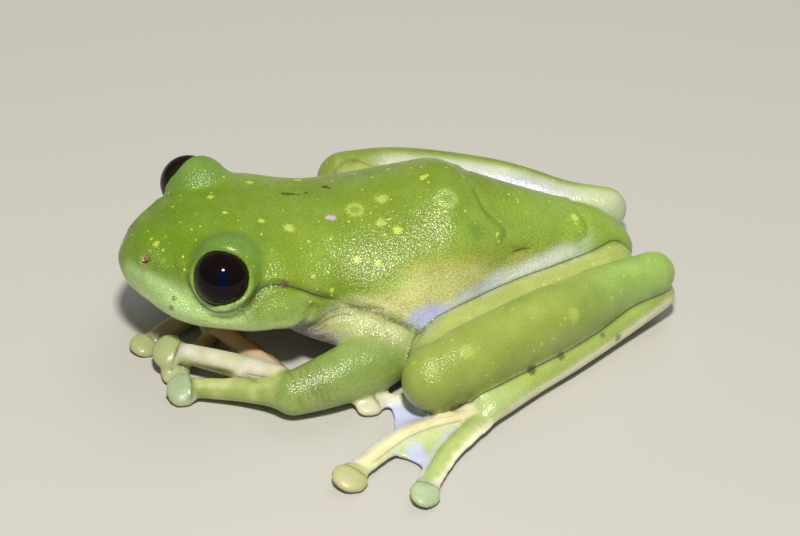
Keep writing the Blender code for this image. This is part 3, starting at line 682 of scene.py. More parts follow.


# %% Cheeks and lips
# The fold behind the eye, with a painted shade line, and the swellings of the cheek round it
CHEEK_CREASE = [
    (12.4, -13.4, 12.1), (13.9, -13.5, 12.6), (15.2, -12.9, 14.0), (16.1, -12.6, 14.5),
    (18.2, -12.4, 14.4), (20.8, -12.4, 13.3), (23.4, -12.4, 11.9), (26.6, -12.6, 10.9),
]
CHEEK_BULGES = [
    ((18.4, -13.4, 11.6), (3.6, 3.0, 2.4), 0.5),
    ((20.6, -13.2, 9.6), (2.2, 2.6, 1.8), 0.25),
    ((24.0, -12.6, 13.4), (3.4, 2.6, 1.6), 0.3),
]
# The lip rolls outward below the eye, with a hollow above it
LIP_ROLL = [
    (2.6, -5.8, 10.7), (5.0, -9.2, 10.5), (8.0, -11.7, 10.4),
    (11.0, -13.3, 10.3), (14.4, -14.1, 10.2), (18.0, -14.1, 9.9),
]
LIP_HOLLOW = [(7.6, -11.0, 12.0), (9.6, -12.4, 11.8), (12.0, -13.4, 11.6)]
JAW_CORNER = [(22.2, -12.9, 11.6), (22.0, -13.2, 10.2), (21.3, -13.2, 9.0), (20.2, -12.6, 7.8)]
for line in both_sides(CHEEK_CREASE):
    crease(line, 0.5, 0.38, 0.16, shade=0.9, ends=0.1)
for side in (1, -1):
    for centre, reach, height in CHEEK_BULGES:
        bulge(on_side(centre, side), reach, height)
for line in both_sides(LIP_ROLL):
    ridge(line, 0.5, 1.15)
for line in both_sides(LIP_HOLLOW):
    crease(line, 0.25, 0.7, shade=0.0, ends=0.3)
# The jaw's corner has a faint painted shade line.
for line in both_sides(JAW_CORNER):
    crease(line, 0.25, 0.7, 0.05, shade=0.12)
tell_lift("Cheeks and lips")

# %% Mouth and snout
# The line of the mouth, sunk and drawn with a painted shade line, and the lip above it
MOUTH = [
    (21.3, -13.0, 8.4), (16.0, -13.5, 8.25), (10.5, -12.2, 8.25), (5.0, -8.3, 8.3),
    (2.6, -5.2, 8.9), (1.5, -2.0, 9.3), (1.4, 0, 9.3),
]
mouth_line = MOUTH + [(x, -y, z) for x, y, z in MOUTH[-2::-1]]
crease(mouth_line, 0.4, 0.34, 0.14, shade=0.8, ends=0.03)
lip_gap = np.abs(off_line(on_skin(mouth_line, 120), 4.0)[0])

# The sharp upper edge of the snout from nostril to eye, and the hollow side below it
SNOUT_EDGE = [(2.8, -4.6, 14.3), (3.9, -5.6, 14.9), (5.0, -6.6, 15.4), (6.4, -7.5, 15.9), (7.8, -8.1, 16.3)]
SNOUT_SIDE = [(2.4, -5.0, 13.0), (3.7, -6.6, 13.0), (5.0, -8.1, 12.8), (6.4, -9.7, 12.4), (8.4, -11.4, 12.0)]
for line in both_sides(SNOUT_EDGE):
    ridge(line, 0.32, 0.9, ends=0.3)
for line in both_sides(SNOUT_SIDE):
    crease(line, 0.5, 1.1, shade=0.0)
tell_lift("Mouth and snout")

# %% Nostrils
# A pit with a raised rim
NOSTRIL, PIT_DEPTH, PIT_WIDTH = (2.75, -4.0, 14.5), 0.7, 0.42
nostril_shade = np.zeros(len(points))
for side in (1, -1):
    spot = np.array(surface.find_nearest(Vector(on_side(NOSTRIL, side)))[0])
    gap = lengths(points - spot)
    lift += 0.12 * peak(gap - 0.9, 0.4) - PIT_DEPTH * peak(gap, PIT_WIDTH)
    nostril_shade = np.maximum(nostril_shade, peak(gap, 0.45))
tell_lift("Nostrils")

# %% Lines where the folded limbs lie against the body and each other
KINDS = {kind: (kind,) for kind in ("body", "thigh", "shank", "upper_arm", "forearm")}
KINDS["foot"] = ("tarsus", "toe")
# Which kinds meet, and how dark the painted shade line is where they touch
MEETINGS = [
    ("body", "thigh", 0.75), ("thigh", "shank", 0.3), ("shank", "foot", 0.9), ("body", "shank", 0.5),
    ("forearm", "thigh", 0.8), ("forearm", "shank", 0.8), ("body", "upper_arm", 0.45),
]
REACH, MEETING_DEPTH = 2.0, 0.3
away_from = {}
for kind, starts in KINDS.items():
    corners, faces = joined([shape for name, shape in pieces if name.startswith(starts)])
    solid = BVHTree.FromPolygons(corners.tolist(), faces)
    found = [solid.find_nearest(Vector(point), REACH)[3] for point in points]
    away_from[kind] = np.array([REACH if gap is None else gap for gap in found])
for first, second, shade in MEETINGS:
    one, other = away_from[first], away_from[second]
    close = step(1.7, 0.8, one + other)
    lift -= MEETING_DEPTH * shade * close * peak(one - other, 0.4)
    # A painted shade line where the two parts touch
    note_shade_line(one - other, shade * close)
tell_lift("Folded limbs")

# %% The groove round the lids, deepest under and behind the eye
GROOVE_OUT, ROLL_OUT, RIM_OUT = 4.6, 4.0, 3.8
lid_rim = np.zeros(len(points))
for side in (-1, 1):
    centre, axis, _, upward = eye_frame(side)
    offset = points - centre
    far = lengths(offset)
    depth = offset @ axis
    out = lengths(offset - depth[:, None] * axis)
    high = (offset @ upward) / np.maximum(out, 1e-6)
    front = step(-2.6, -1.2, depth) * step(7, 5.5, far)
    gap = out - GROOVE_OUT - 0.25 * high
    under = step(0.3, -0.4, high)
    lift -= 0.34 * peak(gap, 0.34) * front * under
    # A painted shade line lies in the groove under and behind the eye.
    note_shade_line(gap, 0.75 * under * front * (far < 6.5))
    lower = step(0.6, -0.2, high)
    lift += 0.1 * peak(out - ROLL_OUT, 0.3) * front * lower
    lid_rim = np.maximum(lid_rim, peak(out - RIM_OUT, 0.26) * front * lower)
tell_lift("Lids")

# %% Folds of the back, the flank and the arms
# The hump over the hips ends in a sharp fold, and the rump has a softer one, each with a faint painted shade
# line.
HUMP_FOLD = [
    (44.2, 1.1, 20.0), (45.4, -0.5, 19.5), (46.0, -2.2, 18.8), (46.4, -3.9, 17.9), (47.0, -5.1, 17.0),
    (48.2, -5.8, 15.8), (49.2, -6.4, 14.8), (49.0, -7.2, 14.1), (47.9, -8.0, 13.7), (46.2, -8.8, 13.9),
]
RUMP_FOLD = [
    (60.3, 0.6, 12.4), (60.9, -1.5, 12.1), (61.4, -2.9, 11.5),
    (61.1, -4.1, 10.9), (59.9, -5.0, 10.7), (58.4, -5.6, 10.7),
]
# A valley below the hump's fold, with a painted shade line on the left side only
HUMP_VALLEY = [(49.0, -8.2, 12.1), (50.4, -7.5, 12.0), (51.7, -7.1, 11.9), (53.0, -6.8, 11.5)]
# Skin folds of the flank, over the shoulder and behind the jaw: depth, width, lip, painted shade and the line
SKIN_FOLDS = [
    (0.34, 0.4, 0.16, 0.6,
     [(25.6, -12.5, 10.9), (28.6, -13.4, 10.1), (30.8, -14.3, 9.5), (33.2, -15.1, 8.5), (35.2, -16.4, 7.4)]),
    (0.16, 0.3, 0.08, 0.45, [(28.4, -13.6, 10.3), (29.8, -14.1, 10.5), (31.4, -14.6, 10.2)]),
    (0.2, 0.3, 0.1, 0.4, [(31.4, -14.8, 8.9), (33.2, -15.6, 7.9), (34.2, -16.2, 7.0)]),
    (0.26, 0.35, 0.12, 0.5, [(20.6, -12.8, 7.4), (23.0, -12.6, 7.9), (25.6, -12.9, 8.9), (28.0, -13.8, 9.2)]),
    (0.22, 0.3, 0.1, 0.4, [(20.8, -12.2, 6.6), (23.0, -12.2, 7.0), (25.0, -12.6, 7.9)]),
    (0.2, 0.28, 0.1, 0.35, [(21.4, -11.6, 5.9), (23.4, -11.7, 6.2), (25.2, -12.0, 6.9)]),
]
for side in (1, -1):
    for fold, height, depth in ((HUMP_FOLD, 0.2, 0.36), (RUMP_FOLD, 0.14, 0.26)):
        line = on_side(fold, side)
        ridge(line - (0.9, 0, 0), height, 0.8, ends=0.3)
        crease(line, depth, 0.5, shade=0.1, ends=0.3)
    crease(on_side(HUMP_VALLEY, side), 0.25, 0.5, 0.06, shade=0.8 if side > 0 else 0.0, ends=0.4)
    for depth, width, lip, shade, line in SKIN_FOLDS:
        crease(on_side(line, side), depth, width, lip, shade)

# The line between the roots of the two outer fingers, and the third finger's lower edge, each with a painted
# shade line
crease([(12.6, -15.3, 3.8), (14.4, -16.8, 4.0), (16.2, -18.4, 4.4)], 0.3, 0.35, 0.1, ends=0.3)
FINGER_EDGE = [(7.2, -10.6, 2.6), (9.6, -12.7, 2.6), (12.8, -16.0, 3.2), (15.1, -19.4, 4.1)]
crease(FINGER_EDGE, 0.2, 0.3, 0.1, shade=0.45, ends=0.2)

# The front rim of the far lid lies low against the ball
bulge((7.0, 9.7, 14.9), (1.8, 1.8, 1.8), -0.6)

# Fine folds inside the elbow and across the wrist, with painted shade lines
WRIST = [(19.6, -17.6, 5.6), (20.1, -19.6, 6.2), (20.2, -21.6, 5.8), (20.8, -22.8, 3.7), (21.2, -23.2, 2.4)]
ELBOW = [(31.4, -13.6, 6.6), (31.0, -15.2, 7.4), (31.6, -17.0, 7.0)]
for shift in (0.0, -1.1, -2.1):
    crease(np.array(ELBOW) + (shift, 0, 0), 0.2, 0.3, 0.08, shade=0.2)
for shift in (-2.1, -1.0, 0.0, 0.8, 1.6):
    crease(np.array(WRIST) + (shift, 0, 0), 0.2, 0.24, 0.08, shade=0.25, ends=0.2)
tell_lift("All folds")

# %% Move the skin
points = points + normals * lift[:, None]
points = smoothed(points, 4, 0.5 * step(0.9, 0.2, np.abs(line_gap)) * step(0.05, 0.3, line_strength))
print("Points with a dark line within reach:", int((line_strength > FAINTEST).sum()))

# %% Discs and knuckles
# The groove across a disc's root, as a share of the disc's length from its base, and its depth
KNUCKLE, KNUCKLE_DEPTH = 0.24, 0.17
facing = normals[:, 2]
for index, name in enumerate(names):
    if "disc" not in name:
        continue
    loft_points = pieces[index][1][0]
    base, tip = loft_points[-2:]
    length = np.linalg.norm(tip - base)
    along = (tip - base) / length
    shaft_name = name.replace("disc", "")
    near = on(name) + on(shaft_name, shaft_name.replace("toe", "fringe"))
    place = (points - base) @ along - KNUCKLE * length
    place = np.where(lengths(points - base) < 1.2 * length, place, 9.0)
    groove = peak(place, 0.22) - 0.7 * peak(place + 0.55, 0.35)
    points = points - normals * (KNUCKLE_DEPTH * near * groove * step(-0.1, 0.4, facing))[:, None]
    # A painted shade line lies in each disc's groove.
    note_shade_line(place, 0.42 * near * step(0.1, 0.6, facing) * (np.abs(place) < 1))
points = smoothed(points, 1, 0.4)
print("Discs with a groove:", sum("disc" in name for name in names))

# %% Lay the skin round the eyeballs and on the floor
# The lids are turned up over the ball, in degrees, above it and below it.
LID_TURN_TOP, LID_TURN_LOW = 8, 18
# Where the skin would lie in the ball it is pushed out, away from a place inside the ball's front.
BALL_CLEARANCE, PUSH_FROM, FLOOR_CLEARANCE = 0.03, 2.3, 0.02
for side in (-1, 1):
    centre, axis, _, upward = eye_frame(side)
    offset = points - centre
    far = np.maximum(lengths(offset), 1e-6)
    radial = offset - (offset @ axis)[:, None] * axis
    radial /= np.maximum(lengths(radial), 1e-6)[:, None]
    angle = np.arccos(np.clip(offset @ axis / far, -1, 1))
    low = step(0.6, -0.4, radial @ upward)
    behind = step(-0.6, 0.1, radial[:, 0]) * (1 - 0.7 * step(0.3, 0.9, radial[:, 0]))
    turn = np.radians(LID_TURN_TOP + low * (LID_TURN_LOW - LID_TURN_TOP)) * behind * step(5.2, 4.3, far)
    angle -= turn * step(np.radians(122), np.radians(76), angle)
    moved = centre + far[:, None] * (axis * np.cos(angle)[:, None] + radial * np.sin(angle)[:, None])
    points = np.where((turn > 0)[:, None], moved, points)
    lens = centre + axis * PUSH_FROM
    reach = EYEBALL_RADIUS + BALL_CLEARANCE
    inside = np.where(lengths(points - centre) < reach)[0]
    ray = points[inside] - lens
    ray /= np.maximum(lengths(ray), 1e-6)[:, None]
    to_lens = lens - centre
    b = ray @ to_lens
    travel = -b + np.sqrt(b**2 - to_lens @ to_lens + reach**2)
    points[inside] = lens + ray * travel[:, None]
points[:, 2] = np.maximum(points[:, 2], FLOOR_CLEARANCE)
# The skin stays just inside the solids' box
box_low, box_high = ((np.array(corner) - ORIGIN) / MM for corner in cad_box)
points = np.clip(points, box_low + 0.01, box_high - 0.05)
normals = normals_of(points)
hollow = smoothed(np.einsum("ij,ij->i", around(points) - points, normals), 1)
print("The skin measures", np.ptp(points, axis=0).round(1), "mm")

# %% [markdown]
# ## Colours of the skin
# The live skin is leaf green above and paler below, with cream fingers and toes and lilac flanks and
# webs, and its colours run into each other. They could be painted by hand on a flat map of the body.
# Here each point gets its colour from where it lies: the colours are laid on one after another, each by
# a soft weight. Some of them are painted light: shade in hollows and folds, under the shank and on the
# far hand's fingers, and sheen below the eye, along the lip and under the forearm. Marks finer than the
# net of points come from the material.

# %% Colours of the skin


def srgb(code):
    """Linear red, green and blue from a hex colour."""
    value = np.array([int(code[k : k + 2], 16) for k in (1, 3, 5)]) / 255
    return np.where(value <= 0.04045, value / 12.92, ((value + 0.055) / 1.055) ** 2.4)


def noise(position, size, seed):
    """Smooth random values about 0, from a few waves in random directions."""
    random = np.random.default_rng(seed)
    total = np.zeros(len(position))
    for _ in range(14):
        direction = random.normal(size=3)
        direction *= 2 * np.pi / (size * random.uniform(0.6, 1.7)) / np.linalg.norm(direction)
        total += np.sin(position @ direction + random.uniform(0, 6.3))
    return total / 3.7


def stretched(centre, scale):
    """How far each point is from a place, with each direction at its own scale."""
    return lengths((points - centre) * scale)


GREEN_HEAD, GREEN_BACK, GREEN_RUMP = "#6e8e18", "#7e9828", "#90ad42"
GREEN_MOUND, LID_EDGE, PALE_LIP_AND_SHEEN = "#71963e", "#a6c67c", "#cbe098"
GREEN_SIDE, YELLOW_FLANK, FLANK_STRIP, LILAC = "#93a944", "#cfcf88", "#e0e8dc", "#b9bdec"
BELLY, THROAT, HOLLOW_SHADE = "#d8d2bd", "#a89f9c", "#566a14"
GREEN_ARM, ARM_INSIDE, GREEN_LEG, LEG_UNDERSIDE_SHADE, LEG_INSIDE = "#889f50", "#d3d3dc", "#95a849", "#879536", "#c6ccbd"
CREAM, TAN, FINGER_GREEN, DISC_CREAM = "#efe9cd", "#c39a66", "#b3c074", "#d3cfa2"
TOE_GREEN, WEB, WEB_BLUE, PINK = "#b9cc86", "#cfd6cf", "#c9cfee", "#8a5f50"

x, y, z = points.T
side = np.sign(y)
out_y = np.abs(y)
facing_out = normals[:, 1] * side
facing_up = normals[:, 2]
colour = np.zeros((len(points), 3)) + srgb(GREEN_BACK)


def paint(code, weight):
    """Lays one colour over the skin by a weight from 0 to 1."""
    global colour
    weight = np.clip(weight, 0, 1)[:, None]
    colour = colour * (1 - weight) + srgb(code) * weight


def paint_each(part, *codes):
    """A colour for each finger or toe, or each one's disc, in the order of their numbers."""
    for key, code in enumerate(codes, 1):
        paint(code, on(f"{part}{key}"))


wobble = noise(points, 6, 1)
paint(GREEN_HEAD, step(22, 10, x))
paint(GREEN_RUMP, step(48, 60, x))
body = on("body", "lid", "mound")


def tell_colour(part):
    """Prints the skin's mean colour so far, in linear red, green and blue."""
    print(f"{part}: the mean colour is", colour.mean(axis=0).round(3))


tell_colour("Back")

# %% Flanks and belly
# The green ends in a line that rises to the hips, and cream, lilac and the belly lie below it.
FLANK_TOP = [(22, 10.6), (27, 11.6), (31, 13.9), (35, 15.2), (38, 15.7), (43, 15.4), (48, 13.6), (54, 12.2)]
below = np.interp(x, *zip(*FLANK_TOP)) - z + 0.5 * wobble
flank = body * step(24, 29, x)
hips = body * step(39, 43, x) * step(60, 54, x) * step(0.95, 0.6, facing_up)
paint("#90ad46", hips * step(1.0, -0.5, below) * 0.7)
paint(GREEN_SIDE, flank * step(-0.6, 1.6, below))
paint(YELLOW_FLANK, flank * step(0.6, 4.6, below) * step(62, 54, x) * 0.9)
paint("#dedea0", flank * step(11.8, 10.6, z) * step(33.5, 30, x) * step(24, 26, x) * 0.8)
tawny = step(0.6, 1.8, below) * step(3.6, 2.2, below) * step(-0.4, 0.9, noise(points, 4, 9))
paint("#b8984c", flank * tawny * 0.22)
paint(GREEN_RUMP, body * step(54, 60, x) * step(0.1, 0.5, facing_up))
strip = step(11.3, 9.9, z + 0.3 * wobble - 0.03 * (x - 50))
paint(FLANK_STRIP, body * strip * step(38, 46, x) * step(64.0, 55.0, x) * step(0, 0.3, facing_out))
patch = stretched((37.0, 0, 7.9), (0.25, 0, 0.4)) + 0.12 * wobble
paint(LILAC, body * step(1.15, 0.6, patch) * step(8, 11, out_y))
patch = stretched((44.0, 0, 9.4), (0.2, 0, 0.6)) + 0.12 * wobble
paint(LILAC, body * step(1.1, 0.5, patch) * step(6, 9, out_y) * 0.35)
under = step(7.4, 5.4, z) * step(21, 26, x) + step(8.4, 7.2, z) * step(23, 19, x)
paint(BELLY, body * under * step(0.5, -0.1, facing_up))
paint(THROAT, body * step(9.0, 7.6, z) * step(17, 21, x) * step(33, 28, x) * step(0.5, 0.0, facing_up))
armpit = on("body", "upper_arm") * step(19.5, 21.5, x) * step(30, 26, x) * step(9, 11, out_y)
paint("#a79fae", armpit * step(9.4, 8.4, z) * 0.8)
FOLD_LINE = [(24.6, -12.6, 9.3), (27.4, -13.6, 9.6), (30.4, -14.6, 9.1), (33.6, -15.6, 8.0)]
for line in both_sides(FOLD_LINE):
    paint("#d2d0de", peak(off_line(on_skin(line))[0], 0.55) * 0.8)
tell_colour("Flanks and belly")

# %% Head
# Darker domes, pale cheeks, lids and lip; the pale green below the eye is a painted wet sheen, and the lip's
# own pale edge is brightened by one
paint(GREEN_MOUND, on("mound") * 0.8)
above_lip = peak(lip_gap - 1.0, 0.9) * step(8.6, 9.3, z)
cheek = body * step(0.1, 0.4, facing_out)
# Painted wet sheen below the eye
paint("#b5d78a", cheek * step(15.5, 12.5, x) * step(14.2, 12.6, z) * 0.75)
paint("#9fbd5e", cheek * step(14, 17, x) * step(24, 21, x) * step(13.8, 12.6, z) * 0.6)
# The lip's pale edge, brightened as a painted sheen
paint(PALE_LIP_AND_SHEEN, body * above_lip * 0.9 * step(24, 20, x))
paint(LID_EDGE, lid_rim * 0.55)
# The nostril's dark pink is its own colour deepened by painted shade in the pit.
paint(PINK, nostril_shade * 0.8)
tell_colour("Head")

# %% Arms and hands
paint(GREEN_ARM, on("upper_arm", "forearm"))
# The forearm's downward side is painted lighter, a painted light against its own shading.
paint("#9db45a", on("forearm") * step(0.6, 0.0, facing_up) * 0.8)
paint("#b9bf80", smoothed(on("upper_arm"), 30))
inside = -facing_out * 0.75 - normals[:, 0] * 0.55
paint(ARM_INSIDE, on("forearm") * step(0.45, 0.8, inside + 0.1 * wobble) * step(0.75, 0.3, facing_up))
pouch = on("upper_arm", "body") * step(30, 25, x) * step(19, 21.5, x) * step(9, 11, out_y)
paint("#c9bda6", on("upper_arm") * step(0.35, -0.1, facing_up) * 0.7)
paint("#aaa2bb", pouch * step(8.2, 6.6, z) * step(-0.9, 0.6, wobble) * 0.8)
paint("#a6b85e", on("palm"))
paint_each("finger", TAN, TAN, "#d4d2c1", "#98a957")
paint(FINGER_GREEN, on("finger3") * step(0.25, 0.0, share) * 0.6)
paint("#a9bc5c", on("finger4") * step(0.35, 0.0, share) * 0.7)
paint("#c7c98d", on("finger4") * step(0.5, 0.9, facing_up) * step(0.3, 0.6, share) * 0.7)
paint("#b2b86d", on("finger3") * step(0.45, 0.1, facing_up) * 0.8)
paint("#eed9c4", on("finger2") * step(0.55, 0.15, share))
mottle = noise(points, 2.4, 11)
paint("#e6c3ab", on("finger3_left") * step(0.2, 1.0, mottle) * 0.5)
paint("#bfc27c", on("finger3_left") * step(-0.1, -0.9, mottle) * 0.5)
paint("#7fa04a", on("finger4_left", "palm_left") * step(0.1, 1.0, mottle) * 0.4)
paint("#cfd091", on("finger4_left", "palm_left") * step(-0.2, -0.9, mottle) * 0.4)
# The far hand's fingers are painted darker, a painted shadow of the jaw over them.
paint("#a8955f", on("finger3_right", "finger2_right") * 0.8)
paint_each("fingerdisc", TAN, "#a9af7e", "#a0aa74", "#9db088")
paint("#cfb98c", on("fingerdisc") * step(0.6, 0.1, facing_up) * 0.45)
paint("#cfdcc0", on("fingerdisc4", "fingerdisc3") * step(0.42, 0.1, share) * 0.7)
tell_colour("Arms and hands")

# %% Legs, feet and webs
paint(GREEN_LEG, on("shank"))
paint("#abb661", on("thigh"))
paint("#7f9538", on("shank_right"))
# The shank's downward side is painted darker, a painted shade.
paint(LEG_UNDERSIDE_SHADE, on("shank") * step(0.45, -0.45, facing_up) * 0.85)
paint("#97b95e", on("shank_left") * step(52, 67, x) * 0.8)
paint("#e4e6bb", on("shank_left") * step(62, 65, x) * step(0.7, 0.88, normals[:, 0]) * step(7.5, 6.0, z))
paint("#8fa346", on("shank_right") * step(46, 40, x) * 0.6)
inner_side = on("shank_right") * step(36, 43, x) * step(-0.95, -0.5, facing_up)
paint("#a7b768", inner_side * step(-0.15, 0.15, -facing_out))
paint(LEG_INSIDE, inner_side * step(0.06, 0.36, -facing_out))
paint("#b4c488", inner_side * step(61, 67, x) * 0.6)
paint("#b3b7ee", inner_side * step(0.5, 0.7, -facing_out) * step(48, 52, x) * step(62, 58, x) * 0.85)
paint(LEG_INSIDE, on("shank_left") * step(0.8, 0.97, -facing_out))
paint(LEG_INSIDE, on("thigh") * step(0.7, 0.95, -facing_out))
paint("#a2b75c", on("tarsus"))
paint(TOE_GREEN, on("tarsus") * step(0.7, 0.95, share))
paint("#eeebc6", on("tarsus") * step(0.3, 0.1, facing_up) * step(0.3, 0.7, facing_out))
paint_each("toe", CREAM, CREAM, "#e9e6cc", CREAM, TOE_GREEN)
paint(TOE_GREEN, on("toe4") * step(0.35, 0.0, share) * 0.8)
paint_each("toedisc", DISC_CREAM, DISC_CREAM, "#d0d0b2", "#b9ba85", "#abbd92")
paint("#d8c796", on("toedisc4", "toedisc3") * step(0.55, 1.0, share) * 0.35)
paint("#dfe4c0", on("fringe"))


def off_toe(key):
    """How far each point is from a left toe's middle line, and its share of the way along."""
    return off_line(spline(np.array(LEFT_FOOT[key][0])[:, :3], 30), 4.0)


FRINGE_COLOURS = (("4", "#cddb98", "#d3d6f0"), ("5", "#f1eecb", "#d3d9dd"), ("3", "#dcdcd8", "#e4e3d0"))
for key, outer, inner in FRINGE_COLOURS:
    gap, _ = off_toe(key)
    paint(outer, on(f"fringe{key}_left") * step(0.1, 0.5, gap) * (gap < 4))
    paint(inner, on(f"fringe{key}_left") * step(-0.1, -0.5, gap) * (gap > -4))
paint("#f0e8b8", on("toe4_left"))
paint("#b0c272", on("toe5_left"))
# A painted shade line runs along each outer toe's core, where its fringe meets it.
for key, edge in (("4", 0.95), ("5", -0.85)):
    gap, place_on = off_toe(key)
    on_toe = on(f"toe{key}_left", f"fringe{key}_left", "web54_left") * (np.abs(gap - edge) < 0.6)
    note_shade_line(gap - edge, 0.34 * on_toe * step(0.04, 0.2, place_on) * step(1, 0.9, place_on))
paint(WEB, on("web"))
paint("#b9cc7c", on("web54"))
streak = noise(points @ np.array(((0.8, -0.6, 0), (0.06, 0.08, 0), (0, 0, 0))), 1.6, 8)
paint(WEB_BLUE, on("web54") * step(0.1, 0.7, streak + 0.25 * step(0.75, 1.0, share)))
paint("#c6cbee", on("web43", "web32"))
tell_colour("Legs, feet and webs")

# %% Soften the colours
colour = smoothed(colour, 3)
# Painted shade darkens the skin's hollows.
paint(HOLLOW_SHADE, step(0.012, 0.05, hollow) * 0.5 * (1 - on("web")))
colour = colour * (1 + 0.05 * noise(points, 9, 3) + 0.03 * noise(points, 2.2, 4))[:, None]
colour = np.clip(colour, 0, 1)
tell_colour("Softened")

# %% Grain, film and flecks
# How coarse the grains are
grain = 1 - 0.8 * on("finger", "toe", "web", "fringe")
grain = smoothed(grain - 0.35 * on("tarsus", "palm") - 0.45 * on("thigh", "shank"), 3)
grain = np.clip(grain - 0.8 * lid_rim, 0, 1) * (1 + 0.6 * flank * step(-0.5, 0.8, below) * (1 - strip))

# How finely the wet film is broken up, and how wet the skin is
head_side = body * step(21, 17, x) * step(16.2, 14.8, z)
knee = on("shank_left") * step(44, 36, x)
sparkle = 0.5 * np.minimum(grain, 1) * (1 - 0.6 * on("mound_left", "lid_left"))
sparkle += 0.36 * head_side + 0.2 * on("mound_right") + 0.35 * knee
sparkle = smoothed(sparkle + 0.3 * flank * strip, 3)
film = 1 - 0.85 * flank * step(-0.3, 0.9, below) * (1 - 0.6 * strip)
film = smoothed(film - 0.5 * on("upper_arm") - 0.6 * on("toedisc", "fingerdisc"), 3)
# Where the small flecks are
spots = on("body", "mound") * step(9.5, 12, z) + on("shank", "thigh") * 0.7
spots = np.clip(spots * (1 - lid_rim), 0, 1)
for name, amount in (("grain", grain), ("sparkle", sparkle), ("film", film), ("spots", spots)):
    print(f"Mean {name}: {amount.mean():.2f}")

# %% The skin's object
skin_mesh = new_mesh("skin", to_world(points), skin_faces)
tint = skin_mesh.attributes.new("tint", "FLOAT_COLOR", "POINT")
tint.data.foreach_set("color", np.column_stack([colour, np.ones(len(points))]).ravel())
skin_values = {"grain": grain, "sparkle": sparkle, "film": film, "spots": spots}
skin_values.update(line_gap=line_gap, line_strength=smoothed(line_strength, 2))
for name, value in skin_values.items():
    skin_mesh.attributes.new(name, "FLOAT", "POINT").data.foreach_set("value", value)
skin = new_object("skin", skin_mesh)
print("The skin's object carries a tint and", ", ".join(skin_values))

# %% [markdown]
# ## Materials
# A material is a network of nodes: each works out a number, a direction or a colour for the point that
# is seen, and hands it on. It could read painted pictures instead, but patterns that are worked out
# stay sharp from near by and fit round the body without seams. One helper adds a node with its
# settings and links, so that the networks below can be read line by line.

# %% Material helpers
# They work on the newest material, whose nodes and surface are called tree and shader. Some options
# are shared by many nodes: a smooth step between two ranges, a blend of colours and the kinds of sum.
SMOOTH = {"interpolation_type": "SMOOTHSTEP"}
COLOURS = {"data_type": "RGBA"}
PLUS, LESS, TIMES = {"operation": "ADD"}, {"operation": "SUBTRACT"}, {"operation": "MULTIPLY"}


def fill(node, inputs):
    """Fills inputs in their order, or by name or number: an output is linked and a plain value is set."""
    for name, value in inputs.items() if isinstance(inputs, dict) else enumerate(inputs):
        if isinstance(value, bpy.types.NodeSocket):
            tree.links.new(value, node.inputs[name])
        else:
            node.inputs[name].default_value = value


def add(kind, inputs=(), out=0, **settings):
    """Adds a node, sets its options, fills its inputs, and gives one of its outputs."""
    node = tree.nodes.new(kind)
    for name, value in settings.items():
        setattr(node, name, value)
    fill(node, inputs)
    return node.outputs[out]


def rgba(code):
    """Linear red, green and blue from a hex colour, and full cover."""
    return (*srgb(code), 1)


def new_material(name):
    """A new material, its node tree and its surface shader."""
    material = bpy.data.materials.new(name)
    material.use_nodes = True
    return material, material.node_tree, material.node_tree.nodes["Principled BSDF"]


print("Shared options:", SMOOTH, COLOURS, PLUS, LESS, TIMES)

# %% [markdown]
# ## Moist granular skin
# The real skin is living tissue under a thin film of water, so it bends light as water and protein do,
# and its surface is set with rounded grains a third of a millimetre across. The eye sees broken, wet
# highlights on the back and smooth, soft ones on the toes. A single shiny layer would look like
# plastic. Here a dull base carries the colour, and a separate wet coat lies over it with bumps of its
# own. All patterns read millimetres on the frog, so every scale is a count per millimetre.

# %% Moist granular skin: the patterns
material, tree, shader = new_material("moist_granular_skin")
skin_mesh.materials.append(material)
place = add("ShaderNodeTexCoord", out="Object")
moved = add("ShaderNodeVectorMath", (place, tuple(-ORIGIN)), **PLUS)
frog = add("ShaderNodeVectorMath", {0: moved, "Scale": 1 / MM}, operation="SCALE")
tint_node = add("ShaderNodeAttribute", out="Color", attribute_name="tint")
attribute_nodes = {name: add("ShaderNodeAttribute", out="Fac", attribute_name=name) for name in skin_values}

GRAINS_PER_MM, FINE_PER_MM, BLOTCHES_PER_MM, PATCHES_PER_MM = 3.4, 4.5, 1.3, 0.22
grains = add("ShaderNodeTexVoronoi", {"Vector": frog, "Scale": GRAINS_PER_MM, "Randomness": 0.9})
fine, patches, blotches = (
    add("ShaderNodeTexNoise", {"Vector": frog, "Scale": scale, "Detail": detail, "Roughness": roughness})
    for scale, detail, roughness in (
        (FINE_PER_MM, 3.0, 0.6), (PATCHES_PER_MM, 3.0, 0.55), (BLOTCHES_PER_MM, 2.0, 0.6),
    )
)
print("Grains", round(1 / GRAINS_PER_MM, 2), "mm and blotches", round(1 / BLOTCHES_PER_MM, 2), "mm across")

# %% Moist granular skin: light and dark in the tint
# Each grain is darker at its edge, a painted shade between the grains, and broad patches and a fine grain
# vary the whole.
grain_shade = add("ShaderNodeMapRange", (grains, 0.2, 0.75, -0.04, 0.11), **SMOOTH)
grain_shade = add("ShaderNodeMath", (grain_shade, attribute_nodes["grain"]), **TIMES)
shade = add("ShaderNodeMath", (1.0, grain_shade), **LESS)
patch_shade = add("ShaderNodeMapRange", (patches, 0.3, 0.7, 0.93, 1.06), **SMOOTH)
shade = add("ShaderNodeMath", (shade, patch_shade), **TIMES)
fine_shade = add("ShaderNodeMapRange", (fine, 0.3, 0.7, 0.95, 1.05), **SMOOTH)
shade = add("ShaderNodeMath", (shade, fine_shade), **TIMES)
base = add("ShaderNodeVectorMath", {0: tint_node, "Scale": shade}, operation="SCALE")
print("Nodes for the tint:", len(tree.nodes))


